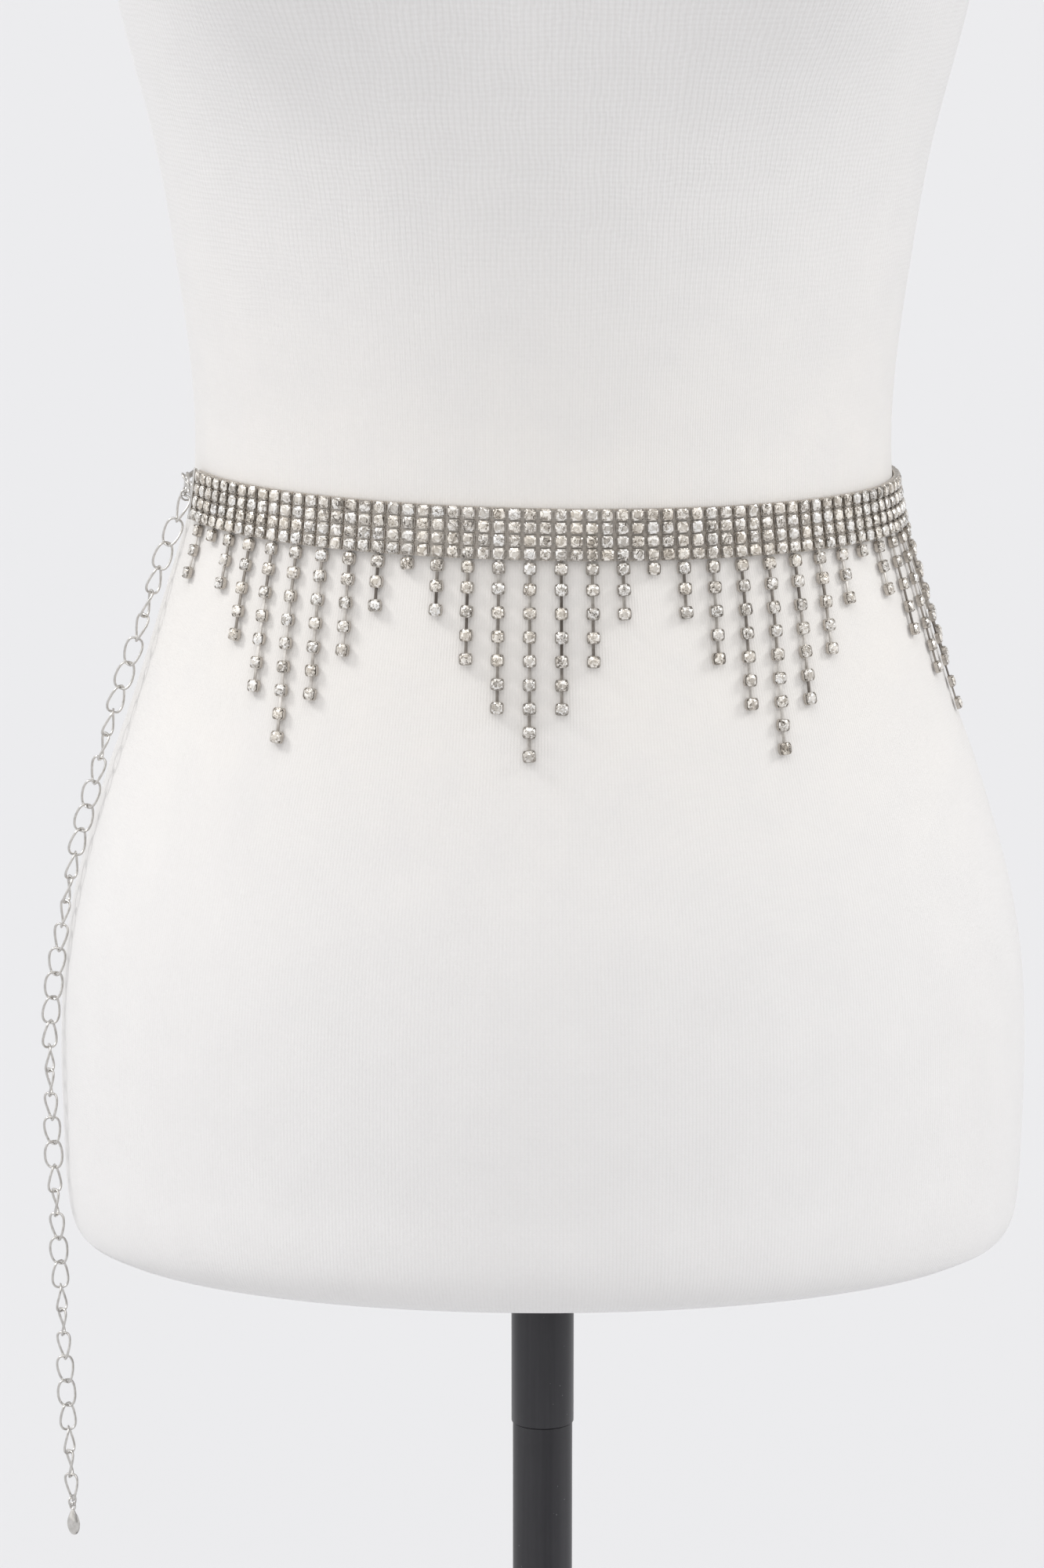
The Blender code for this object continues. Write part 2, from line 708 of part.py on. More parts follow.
def make_chain(metal):
    """Two sides to each link, drawn from knuckle to knuckle, as one body."""
    line = chain_line()
    edit = bmesh.new()
    hanging = None
    for number in range(LINKS + 1):
        height = END_HEIGHT if number in (0, LINKS) else KNUCKLE_HEIGHT
        frame = chain_frame(line, number * LINK_PITCH)
        upper = knuckle_level(edit, frame, -height / 2)
        lower = knuckle_level(edit, frame, height / 2)
        add_knuckle_sides(edit, upper, lower)
        for half, side in ((0, -1), (1, 1)):
            if number == 0:
                edit.faces.new(upper[half])
            else:
                add_tube(edit, [hanging[half], *link_side(edit, line, number, side), upper[half]])
            if number == LINKS:
                edit.faces.new(lower[half])
        hanging = lower
    bmesh.ops.recalc_face_normals(edit, faces=edit.faces[:])
    add_mesh("extender_chain", edit, metal)
    return line


def make_drop(line, metal):
    """The pear-shaped drop at the end of the chain, and the small ring that it hangs from."""
    ring_middle = SMALL_RING_RADIUS - SMALL_RING_WIRE - END_HEIGHT / 2 - CLEAR
    frame = chain_frame(line, LINKS * LINK_PITCH + ring_middle)
    ring = add_ring("drop_ring", SMALL_RING_RADIUS, SMALL_RING_WIRE, metal)
    ring.matrix_world = frame @ Matrix.Rotation(math.radians(90), 4, "Y")
    hole_top = SMALL_RING_RADIUS - SMALL_RING_WIRE - CLEAR
    eye = (0, hole_top + DROP_HOLE)
    belly = (0, hole_top - DROP_BAR + DROP_LENGTH - DROP_WIDTH / 2)
    outline = arc_points(belly, DROP_WIDTH / 2, -25, 205, 14)
    outline += arc_points(eye, DROP_HOLE + DROP_BAR, 215, 325, 8)
    flat_piece("chain_drop", [outline, circle_points(eye, DROP_HOLE)], DROP_THICK, frame, metal)


def main():
    clear_scene()
    if "Gemstone belt" not in bpy.data.collections:
        bpy.context.scene.collection.children.link(bpy.data.collections.new("Gemstone belt"))
    cloth = new_material("cotton_jersey", (0.80, 0.79, 0.78), 0.9, 0)
    paint = new_material("black_paint", (0.045, 0.043, 0.05), 0.45, 0.3)
    stones = new_material("set_stones", (0.62, 0.60, 0.57), 0.2, 0.6)
    metal = new_material("silver_plate", (0.72, 0.71, 0.69), 0.25, 1)

    make_form(cloth)
    make_stand(paint)
    make_band(stones)
    make_fringe(stones)
    front_hole = make_end_bar("end_bar_front", BAND_START, -1, 0, metal)
    back_hole = make_end_bar("end_bar_back", BAND_END - BELT_ROUND, 1, BACK_ARM, metal)
    make_jump_ring("jump_ring_front", front_hole - RING_RADIUS, metal)
    make_jump_ring("jump_ring_back", back_hole + RING_RADIUS, metal)
    loop_along = make_clasp(front_hole, back_hole, metal)
    make_chain_ring(loop_along, metal)
    line = make_chain(metal)
    make_drop(line, metal)


main()
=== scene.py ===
import math
import random

import bmesh
import bpy
from mathutils import Matrix, Vector


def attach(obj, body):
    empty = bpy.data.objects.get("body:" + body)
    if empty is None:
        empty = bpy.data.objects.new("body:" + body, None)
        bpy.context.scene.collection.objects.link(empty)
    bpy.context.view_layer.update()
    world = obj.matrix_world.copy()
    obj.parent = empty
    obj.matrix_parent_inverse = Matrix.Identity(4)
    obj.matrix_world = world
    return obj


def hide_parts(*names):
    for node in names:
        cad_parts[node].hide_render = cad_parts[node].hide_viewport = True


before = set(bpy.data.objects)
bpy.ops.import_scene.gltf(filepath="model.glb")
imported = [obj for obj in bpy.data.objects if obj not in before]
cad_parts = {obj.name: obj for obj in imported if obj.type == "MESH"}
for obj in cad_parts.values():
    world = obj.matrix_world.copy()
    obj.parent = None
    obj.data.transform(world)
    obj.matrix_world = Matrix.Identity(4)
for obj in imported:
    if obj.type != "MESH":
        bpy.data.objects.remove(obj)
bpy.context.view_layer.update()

mm = 0.001

# the colour inputs and the colour output of a Mix node
mixFirst, mixSecond, mixResult = 6, 7, 2

view = {
    "place": (-0.0074, -2.2, 1.37),
    "down": 11.9,  # degrees below level
    "lens": 146.4,
    "sensor": 36,
    "reach": 300,
}

studio = {
    "floorSize": 140,
    "floorColour": (0.697, 0.697, 0.707, 1),
    "skyColour": (0.53, 0.53, 0.535, 1),
    "wallColour": (0.82, 0.82, 0.835, 1),
    # what shiny things reflect, from the left of the room to its right
    "reflected": (
        (0.0, 1.25), (0.26, 0.95), (0.42, 0.60), (0.60, 0.50),
        (0.74, 0.36), (0.88, 0.62), (1.0, 1.2),
    ),
    # degrees round from the front, degrees up, strength, softness in degrees
    "boxes": {
        "leftBox": (-84, 46, 1.15, 16),
        "rightBox": (84, 34, 0.99, 22),
        "topBox": (-8, 58, 0.87, 60),
    },
}


def makeCamera():
    tilt = math.radians(90 - view["down"])
    bpy.ops.object.camera_add(location=view["place"], rotation=(tilt, 0, 0))
    camera = bpy.context.object
    camera.name = "photoCamera"
    camera.data.lens = view["lens"]
    camera.data.sensor_width = view["sensor"]
    camera.data.clip_end = view["reach"]
    bpy.context.scene.camera = camera
    bpy.context.scene.view_settings.view_transform = "Standard"  # keeps the white as white


def makeStudio():
    bpy.ops.mesh.primitive_plane_add(size=studio["floorSize"])
    floor = bpy.context.object
    floor.name = "floor"
    finish = Finish("paleFloor", {
        "Base Color": studio["floorColour"], "Roughness": 0.9, "Specular IOR Level": 0.0,
    })
    floor.data.materials.append(finish.material)

    for name, (bearing, up, strength, softness) in studio["boxes"].items():
        aim = Matrix.Rotation(math.radians(bearing), 3, "Z") @ Vector((0, 1, 0))
        aim.z = -math.tan(math.radians(up))
        turn = aim.to_track_quat("-Z", "Y").to_euler()
        bpy.ops.object.light_add(type="SUN", rotation=turn)
        light = bpy.context.object
        light.name = name
        light.data.energy = strength
        light.data.angle = math.radians(softness)
    print("studio made:", len(studio["boxes"]), "lights")


def setStops(ramp, tones):
    stops = ramp.color_ramp.elements
    while len(stops) < len(tones):
        stops.new(1.0)
    for stop, (place, tone) in zip(stops, tones):
        stop.position = place
        stop.color = (*tone, 1)


def makeSky():
    # one tone on what is matt, another behind the scene, and walls in what is shiny
    sky = bpy.data.worlds.new("studioSky")
    sky.use_nodes = True
    nodes, links = sky.node_tree.nodes, sky.node_tree.links
    way = nodes.new("ShaderNodeTexCoord").outputs["Generated"]
    apart = nodes.new("ShaderNodeSeparateXYZ")
    share = nodes.new("ShaderNodeMapRange")
    share.inputs["From Min"].default_value = -1
    walls = nodes.new("ShaderNodeValToRGB")
    setStops(walls, [(place, (light,) * 3) for place, light in studio["reflected"]])
    ray = nodes.new("ShaderNodeLightPath")
    matt = nodes.new("ShaderNodeMix")
    shiny = nodes.new("ShaderNodeMix")
    for mix in (matt, shiny):
        mix.data_type = "RGBA"
    matt.inputs[mixFirst].default_value = studio["skyColour"]
    matt.inputs[mixSecond].default_value = studio["wallColour"]
    for start, end in (
        (way, apart.inputs[0]),
        (apart.outputs["X"], share.inputs["Value"]),
        (share.outputs["Result"], walls.inputs[0]),
        (ray.outputs["Is Camera Ray"], matt.inputs[0]),
        (ray.outputs["Is Glossy Ray"], shiny.inputs[0]),
        (matt.outputs[mixResult], shiny.inputs[mixFirst]),
        (walls.outputs["Color"], shiny.inputs[mixSecond]),
        (shiny.outputs[mixResult], nodes["Background"].inputs["Color"]),
    ):
        links.new(start, end)
    bpy.context.scene.world = sky


class Wire:
    # a node's output that can be used in sums
    def __init__(self, finish, socket):
        self.finish = finish
        self.socket = socket

    def other(self, name):
        return Wire(self.finish, self.socket.node.outputs[name])

    def __add__(self, value):
        return self.finish.maths("ADD", self, value)

    def __radd__(self, value):
        return self.finish.maths("ADD", value, self)

    def __sub__(self, value):
        return self.finish.maths("SUBTRACT", self, value)

    def __rsub__(self, value):
        return self.finish.maths("SUBTRACT", value, self)

    def __mul__(self, value):
        return self.finish.maths("MULTIPLY", self, value)


class Finish:
    # one material; fixed values go straight on its shader's sockets
    def __init__(self, name, fixed):
        self.material = bpy.data.materials.new(name)
        self.material.use_nodes = True
        self.tree = self.material.node_tree
        self.shader = self.tree.nodes["Principled BSDF"]
        for socket, value in fixed.items():
            self.feed(socket, value)

    def connect(self, value, socket):
        if isinstance(value, Wire):
            self.tree.links.new(value.socket, socket)
        else:
            socket.default_value = value

    def feed(self, name, value):
        self.connect(value, self.shader.inputs[name])

    def node(self, kind, settings=None, values=None, output=0):
        added = self.tree.nodes.new(kind)
        for name, value in (settings or {}).items():
            if name == "stops":
                setStops(added, value)
            else:
                setattr(added, name, value)
        for name, value in (values or {}).items():
            self.connect(value, added.inputs[name])
        return Wire(self, added.outputs[output])

    def maths(self, operation, first, second=0.0):
        return self.node("ShaderNodeMath", {"operation": operation}, {0: first, 1: second})

    def places(self, perMetre):
        values = {0: self.node("ShaderNodeTexCoord", output="Object"), "Scale": perMetre}
        return self.node("ShaderNodeVectorMath", {"operation": "SCALE"}, values)

    def noise(self, perMetre, detail=2.0):
        values = {"Vector": self.places(perMetre), "Scale": 1.0, "Detail": detail}
        return self.node("ShaderNodeTexNoise", None, values)

    def ramp(self, value, stops):
        return self.node("ShaderNodeValToRGB", {"stops": stops}, {0: value})

    def blend(self, mask, first, second, kind="MIX"):
        settings = {"data_type": "RGBA", "blend_type": kind}
        values = {0: mask, mixFirst: first, mixSecond: second}
        return self.node("ShaderNodeMix", settings, values, output=mixResult)

    def bump(self, height, distance, strength=1.0):
        values = {"Strength": strength, "Distance": distance, "Height": height}
        self.feed("Normal", self.node("ShaderNodeBump", None, values))


jersey = {
    "light": (0.895, 0.886, 0.882, 1),
    "dark": (0.80, 0.785, 0.775, 1),
    "wales": 820,  # ribs round the form
    "courses": 1080,  # rows of stitches in a metre
    "depth": 0.13 * mm,
    # patches in a metre
    "worn": 55,
    "pulled": 160,
    "lint": 900,
    # over the belt the cover is stretched: from this height, fully so after this reach
    "stretchHeight": 1.04,
    "stretchReach": 0.09,
    # painted warm light: the stones throw a little warm light on the cover round this height, and
    # it is painted into the cover's colour
    "warmLightHeight": 0.985,
    "warmLightReach": 0.075,
    "paintedWarmLight": (1.035, 1.015, 0.98, 1),
}


def jerseyFinish():
    finish = Finish("whiteJersey", {
        "Roughness": 0.93, "Specular IOR Level": 0.2, "Sheen Weight": 0.55, "Sheen Roughness": 0.5,
    })
    cloth = finish.node("ShaderNodeUVMap", {"uv_map": "knit"})
    apart = finish.node("ShaderNodeSeparateXYZ", None, {0: cloth})
    ribs = apart * jersey["wales"]
    rows = apart.other("Y") * jersey["courses"]
    side = finish.maths("ABSOLUTE", finish.maths("FRACT", ribs) - 0.5) * 2
    wave = finish.maths("SINE", (rows + side * 0.5) * (2 * math.pi))
    worn = finish.noise(jersey["worn"], 3)
    pulled = finish.noise(jersey["pulled"], 3)
    lint = finish.noise(jersey["lint"], 2)
    stitch = (1 - side * side) * (0.3 + pulled * 0.6) + wave * 0.1 + 0.2
    # every second rib and row of the stretched cover stands out
    here = finish.node("ShaderNodeSeparateXYZ", None, {0: finish.places(1.0)})
    reach = (here.other("Z") - jersey["stretchHeight"]) * (1 / jersey["stretchReach"])
    stretch = finish.maths("MINIMUM", finish.maths("MAXIMUM", reach, 0.0), 1.0)
    wander = worn * 5 + pulled * 1.2
    wideRib = finish.maths("SINE", (ribs + wander) * math.pi)
    wideRow = finish.maths("SINE", (rows + wander) * math.pi)
    openKnit = (wideRib * 0.65 + wideRow * pulled * 0.8) * stretch
    height = stitch + lint * 0.45 + openKnit * 0.55
    finish.bump(height, jersey["depth"], 0.8)
    shade = stitch * 0.3 + lint * 0.3 + worn * 0.45 + openKnit * 0.28
    cover = finish.blend(shade, jersey["dark"], jersey["light"])
    # painted warm light: the colour is made warmer and lighter near the belt, fading above and
    # below
    away = (here.other("Z") - jersey["warmLightHeight"]) * (1 / jersey["warmLightReach"])
    near = finish.maths("DIVIDE", 0.55 + worn, away * away + 1.0)
    finish.feed("Base Color", finish.blend(near, cover, jersey["paintedWarmLight"], "MULTIPLY"))
    return finish.material


blackPaint = {
    "tones": (
        (0.15, (0.017, 0.0165, 0.020)),
        (0.75, (0.034, 0.033, 0.038)),
        (1.0, (0.16, 0.16, 0.165)),
    ),
    # how many there are in a metre
    "clouds": 60,
    "grains": 2600,
    "streaks": (620, 620, 14),  # faint upright ones from the drawing of the tube
    "specks": 420,
    "dustyPatches": 70,
    "speckSize": 0.085,
    "dusty": 0.56,  # dust lies where the patches' noise is over this
}


def paintFinish():
    finish = Finish("satinBlack", {"Metallic": 0.0, "Specular IOR Level": 0.42})
    cloud = finish.noise(blackPaint["clouds"], 3)
    here = finish.node("ShaderNodeVectorMath", {"operation": "MULTIPLY"}, {
        0: finish.places(1.0), 1: blackPaint["streaks"],
    })
    streak = finish.node("ShaderNodeTexNoise", None, {"Vector": here, "Scale": 1.0, "Detail": 3.0})
    spot = finish.node("ShaderNodeTexVoronoi", None, {
        "Vector": finish.places(blackPaint["specks"]), "Scale": 1.0,
    })
    speck = finish.maths("LESS_THAN", spot, blackPaint["speckSize"])
    patch = finish.noise(blackPaint["dustyPatches"], 2)
    dust = speck * finish.maths("GREATER_THAN", patch, blackPaint["dusty"])
    shade = cloud * 0.35 + streak * 0.75 - 0.05 + dust * 2.2
    finish.feed("Base Color", finish.ramp(shade, blackPaint["tones"]))
    finish.feed("Roughness", 0.3 + streak * 0.14 + dust * 0.3)
    finish.bump(finish.noise(blackPaint["grains"], 2), 0.03 * mm, 0.5)
    return finish.material


# clouds in a metre; the grain is how many in a metre, its detail, depth and strength
metals = {
    "silverPlate": {
        "metallic": 1.0, "clouds": 700, "smooth": 0.1, "grain": (5200, 2, 0.02 * mm, 0.4),
        "dark": (0.40, 0.38, 0.355, 1), "light": (0.80, 0.785, 0.76, 1),
    },
    "cupMetal": {
        "metallic": 1.0, "clouds": 900, "smooth": 0.2, "grain": (4200, 2, 0.03 * mm, 0.5),
        "dark": (0.30, 0.27, 0.235, 1), "light": (0.76, 0.715, 0.66, 1),
    },
    "carrierMetal": {
        "metallic": 0.6, "clouds": 1500, "smooth": 0.45, "grain": (1500, 3, 0.08 * mm, 0.6),
        "dark": (0.42, 0.38, 0.335, 1), "light": (0.80, 0.745, 0.685, 1),
    },
}


def metalFinish(name):
    metal = metals[name]
    finish = Finish(name, {"Metallic": metal["metallic"]})
    cloud = finish.noise(metal["clouds"], 3)
    finish.feed("Base Color", finish.blend(cloud, metal["dark"], metal["light"]))
    finish.feed("Roughness", metal["smooth"] + cloud * 0.2)
    perMetre, detail, depth, strength = metal["grain"]
    finish.bump(finish.noise(perMetre, detail), depth, strength)
    return finish.material


# painted light and shade: the strands' bars are painted dark on some strands and pale on others,
# as lit and shaded bars look
barMetalLitAndShaded = {
    "tones": (
        (0.0, (0.12, 0.103, 0.089)),
        (0.4, (0.33, 0.30, 0.268)),
        (0.9, (0.80, 0.77, 0.73)),
    ),
    "clouds": 1100,  # in a metre
    "lightAndShadePatches": 45,
    "grains": 4200,
}


def barFinish():
    finish = Finish("barMetalLitAndShaded", {"Metallic": 0.85})
    cloud = finish.noise(barMetalLitAndShaded["clouds"], 2)
    patch = finish.noise(barMetalLitAndShaded["lightAndShadePatches"], 1.5)
    # painted light and shade: broad patches make whole bars darker or paler
    shade = (patch - 0.5) * 2.4 + cloud * 0.3 + 0.3
    finish.feed("Base Color", finish.ramp(shade, barMetalLitAndShaded["tones"]))
    finish.feed("Roughness", 0.28 + cloud * 0.2)
    finish.bump(finish.noise(barMetalLitAndShaded["grains"], 2), 0.02 * mm, 0.5)
    return finish.material


crystal = {
    "cell": 0.62,  # inner facets in a millimetre, painted as patches of reflected light and shade
    "lineWidth": 0.05,
    "warp": 0.9,  # how far the facets' edges stray, in millimetres
    "curl": 0.55,  # painted curved reflections in a millimetre
    "darkReflectionLine": (0.5, 0.017),  # a painted dark reflection line's level and half width
    "glint": (0.55, 0.022),  # a painted glint's
    "cool": (0.97, 0.975, 0.985, 1),
    "warm": (1.0, 0.96, 0.90, 1),
    # the painted reflections run from dark shade to white glints
    "shades": (
        (0.03, (0.09, 0.075, 0.06)),
        (0.20, (0.34, 0.305, 0.262)),
        (0.55, (0.68, 0.64, 0.585)),
        (0.82, (1.0, 0.985, 0.96)),
    ),
}


def crystalFinish():
    finish = Finish("cutCrystal", {
        "Metallic": 0.35, "IOR": 1.6, "Coat Roughness": 0.02, "Coat Weight": 1.0,
    })
    facet, clear, warm = (
        finish.node("ShaderNodeAttribute", {"attribute_name": name}, output="Fac")
        for name in stone["attributes"]
    )
    stray = finish.node("ShaderNodeTexNoise", None, {
        "Vector": finish.places(1000), "Scale": 0.75, "Detail": 1.5,
    }, output="Color")
    away = finish.node("ShaderNodeVectorMath", {"operation": "SCALE"}, {
        0: stray, "Scale": crystal["warp"] * crystal["cell"] * 2,
    })
    inside = finish.node("ShaderNodeVectorMath", {"operation": "ADD"}, {
        0: finish.places(1000 * crystal["cell"]), 1: away,
    })
    spot = {"Vector": inside, "Scale": 1.0}
    shard = finish.node("ShaderNodeTexVoronoi", None, spot, output="Color")
    shardGrey = finish.node("ShaderNodeSeparateColor", None, {0: shard})
    edge = finish.node("ShaderNodeTexVoronoi", {"feature": "DISTANCE_TO_EDGE"}, spot)
    line = finish.maths("LESS_THAN", edge, crystal["lineWidth"])
    level = finish.noise(1000 * crystal["curl"], 0.6)
    darkReflectionLine, glint = (
        finish.maths("LESS_THAN", finish.maths("ABSOLUTE", level - middle), half)
        for middle, half in (crystal["darkReflectionLine"], crystal["glint"])
    )
    # painted reflections: inner facets with dark edges, dark reflection lines and glints, as
    # strong as each stone's clear share
    innerReflection = (shardGrey * 0.5 - line * 0.25 - darkReflectionLine * 0.38 + glint * 0.3 - 0.22) * clear
    shade = facet * 0.62 + innerReflection + 0.2
    tone = finish.blend(warm, crystal["cool"], crystal["warm"])
    shade = finish.ramp(shade, crystal["shades"])
    finish.feed("Base Color", finish.blend(1.0, shade, tone, "MULTIPLY"))
    finish.feed("Roughness", 0.05 + shardGrey.other("Green") * 0.2)
    finish.bump(shardGrey.other("Blue") + edge, 0.25 * mm, 0.6)
    return finish.material


# every place on the belt follows from the form's skin
form = {
    "beltTop": 1020 * mm,
    "beltTilt": 2.2 * mm,  # the upper edge is this much higher at the closing's side
    # over the belt's upper edge, half width, front depth, back depth
    "sections": (
        (-279, 158, 96, 106), (-275, 165, 104, 115), (-264, 169, 109, 120),
        (-240, 170.5, 110, 123), (-205, 171, 111, 124), (-175, 169.5, 110.5, 123),
        (-148, 165, 109, 121), (-111, 154.5, 105, 115), (-78, 143, 101, 108),
        (-38, 130.5, 95.5, 98), (-18, 124.5, 92, 92.5), (0, 121.5, 90, 89),
        (31, 122, 90, 88), (75, 127.5, 93, 91), (113, 134, 98, 97),
        (162, 146, 105, 104), (205, 153, 108, 108), (250, 158, 104, 109),
        (290, 163, 96, 104), (318, 160, 84, 95), (340, 142, 71, 82),
        (356, 108, 60, 70), (368, 78, 55, 61), (384, 62, 52, 54),
        (410, 58, 51, 50), (436, 58, 51, 50),
    ),
    "bustOut": 24 * mm,
    "bustHeight": 207 * mm,
    "bustReach": 50 * mm,
    "bustAngle": 37,
    "bustSpread": 24,
    "columns": 144,
    # rows over the belt's upper edge, closer together at the hem and the shoulders
    "rowStep": 4.5,
    "fineStep": 1.5,
    "hem": -262,
    "shoulders": (330, 400),
    # the cover is drawn in under the form, towards the plate
    "underRings": (0.93, 0.72, 0.45, 0.2),
    "underKnit": 0.13,
}


def smoothValue(rows, at, column):
    # a column of a table with rising first values, read between its rows by a cubic
    xs = [row[0] for row in rows]
    ys = [row[column] for row in rows]
    i = max(0, min(len(xs) - 2, sum(x <= at for x in xs) - 1))

    def slope(k):
        low = max(0, k - 1)
        high = min(len(xs) - 1, k + 1)
        return (ys[high] - ys[low]) / (xs[high] - xs[low])

    width = xs[i + 1] - xs[i]
    u = max(0.0, min(1.0, (at - xs[i]) / width))
    rise = ys[i + 1] - ys[i]
    a = slope(i) * width - rise
    b = rise - slope(i + 1) * width
    return ys[i] + u * rise + u * (1 - u) * (a * (1 - u) + b * u)


def formSection(height, out):
    overBelt = (height - form["beltTop"]) / mm
    return [smoothValue(form["sections"], overBelt, column) * mm + out for column in (1, 2, 3)]


def ringPoint(angle, height, section):
    half, front, back = section
    depth = front if math.cos(angle) > 0 else back
    return Vector((half * math.sin(angle), -depth * math.cos(angle), height))


def levelNormal(point):
    half, front, back = formSection(point.z, 0)
    depth = front if point.y < 0 else back
    return Vector((point.x / half**2, point.y / depth**2, 0)).normalized()


def nextDown(point, drop):
    # the point of the skin that much lower, straight down the slope
    half, front, back = formSection(point.z - drop, 0)
    depth = front if point.y < 0 else back
    normal = levelNormal(point)
    p = Vector((point.x / half, point.y / depth))
    n = Vector((normal.x / half, normal.y / depth))
    a = n.dot(n)
    b = p.dot(n)
    c = p.dot(p) - 1
    move = (-b + math.sqrt(b * b - a * c)) / a
    return Vector((point.x + normal.x * move, point.y + normal.y * move, point.z - drop))


def skinFrame(point):
    # along the belt, up the slope and outwards
    normal = levelNormal(point)
    along = Vector((-normal.y, normal.x, 0))
    up = (point - nextDown(point, mm)).normalized()
    axes = Matrix((along, up, along.cross(up))).transposed().to_4x4()
    return Matrix.Translation(point) @ axes


belt = {
    "rows": 4,
    "rowPitch": 4.5 * mm,
    "columnPitch": 5.2 * mm,
    "columns": 121,
    "firstColumn": -27,  # counted from the longest strand in front
    "mainStrand": -4.7 * mm,  # that strand's place from the middle of the front
    "face": 2.0 * mm,
    "rulerSteps": 1440,
    "pathStep": 0.5 * mm,
}


def beltRuler():
    section = formSection(form["beltTop"], belt["face"])
    before = ringPoint(0, form["beltTop"], section)
    ruler = [(0.0, 0.0)]
    for i in range(1, belt["rulerSteps"] + 1):
        angle = 2 * math.pi * i / belt["rulerSteps"]
        here = ringPoint(angle, form["beltTop"], section)
        ruler.append((ruler[-1][0] + (here - before).length, angle))
        before = here
    return ruler


ruler = beltRuler()
beltRound = ruler[-1][0]
bandHeight = belt["rows"] * belt["rowPitch"]
bandStart = belt["mainStrand"] + (belt["firstColumn"] - 0.5) * belt["columnPitch"]
bandEnd = bandStart + belt["columns"] * belt["columnPitch"]


def angleAt(along):
    turns, rest = divmod(along, beltRound)
    low, high = 0, len(ruler) - 1
    while high - low > 1:
        middle = (low + high) // 2
        if ruler[middle][0] <= rest:
            low = middle
        else:
            high = middle
    share = (rest - ruler[low][0]) / (ruler[high][0] - ruler[low][0])
    return ruler[low][1] + share * (ruler[high][1] - ruler[low][1]) + turns * 2 * math.pi


def skinPath(along, length):
    # points down the skin from the belt's upper edge
    angle = angleAt(along)
    height = form["beltTop"] - form["beltTilt"] * math.sin(angle)
    points = [ringPoint(angle, height, formSection(height, 0))]
    distance = [0.0]
    while distance[-1] < length:
        points.append(nextDown(points[-1], belt["pathStep"]))
        distance.append(distance[-1] + (points[-1] - points[-2]).length)
    return points, distance


def pointDown(path, length):
    points, distance = path
    i = max(k for k in range(len(distance) - 1) if distance[k] <= length)
    share = (length - distance[i]) / (distance[i + 1] - distance[i])
    return points[i].lerp(points[i + 1], share)


def deselectAll():
    bpy.ops.object.select_all(action="DESELECT")


def selectOnly(*pieces):
    deselectAll()
    for piece in pieces:
        piece.select_set(True)
    bpy.context.view_layer.objects.active = pieces[0]


def addBlock(size, place, turn=(0, 0, 0)):
    deselectAll()
    bpy.ops.mesh.primitive_cube_add(size=1, location=place, rotation=turn)
    block = bpy.context.object
    block.scale = size
    bpy.ops.object.transform_apply(location=False, rotation=False, scale=True)
    return block


def addRing(radius, wire, around=32, section=10):
    deselectAll()
    bpy.ops.mesh.primitive_torus_add(
        major_radius=radius, minor_radius=wire, major_segments=around, minor_segments=section
    )
    bpy.ops.object.shade_smooth()
    return bpy.context.object


def editMesh(piece, kind):
    selectOnly(piece)
    bpy.ops.object.mode_set(mode="EDIT")
    bpy.ops.mesh.select_mode(type=kind)


def pick(piece, kind, test):
    # selects the faces or edges in edit mode that pass the test
    mesh = bmesh.from_edit_mesh(piece.data)
    for thing in mesh.verts[:] + mesh.edges[:] + mesh.faces[:]:
        thing.select_set(False)
    for thing in getattr(mesh, kind):
        if test(thing):
            thing.select_set(True)
    mesh.select_flush_mode()
    bmesh.update_edit_mesh(piece.data)


def pickAll():
    bpy.ops.mesh.select_all(action="SELECT")


def endEdit():
    bpy.ops.object.mode_set(mode="OBJECT")


def isUpright(edge):
    one, two = [vert.co for vert in edge.verts]
    return abs(one.z - two.z) > 0.9 * (one - two).length


def joinPieces(parts, name):
    selectOnly(*parts)
    if len(parts) > 1:
        bpy.ops.object.join()
    joined = bpy.context.view_layer.objects.active
    joined.name = name
    joined.data.name = name
    return joined


def pieceFrom(mesh, name):
    bmesh.ops.recalc_face_normals(mesh, faces=mesh.faces[:])
    data = bpy.data.meshes.new(name)
    mesh.to_mesh(data)
    mesh.free()
    piece = bpy.data.objects.new(name, data)
    bpy.context.scene.collection.objects.link(piece)
    return piece


def settle(piece, place=Matrix.Identity(4)):
    # moves the shape to its place and leaves the object at the origin
    piece.data.transform(place @ piece.matrix_world)
    piece.matrix_world = Matrix.Identity(4)
    piece.data.update()
    return piece


def bevelAll(piece, width, segments=2, angle=30):
    bevel = piece.modifiers.new("edges", "BEVEL")
    bevel.width = width
    bevel.segments = segments
    bevel.limit_method = "ANGLE"
    bevel.angle_limit = math.radians(angle)
    selectOnly(piece)
    bpy.ops.object.modifier_apply(modifier=bevel.name)
    bpy.ops.object.shade_smooth_by_angle(angle=math.radians(35))


def finishPiece(piece, material, slot, *nodes):
    piece.data.materials.clear()
    piece.data.materials.append(material)
    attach(piece, "root")
    if nodes:
        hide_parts(*nodes)


def layCopies(master, places, name, dress=None):
    # the master goes when its copies are laid
    copies = []
    for place in places:
        copy = master.copy()
        copy.data = master.data.copy()
        copy.data.transform(place)
        bpy.context.scene.collection.objects.link(copy)
        if dress:
            dress(copy.data)
        copies.append(copy)
    bpy.data.objects.remove(master)
    return joinPieces(copies, name)


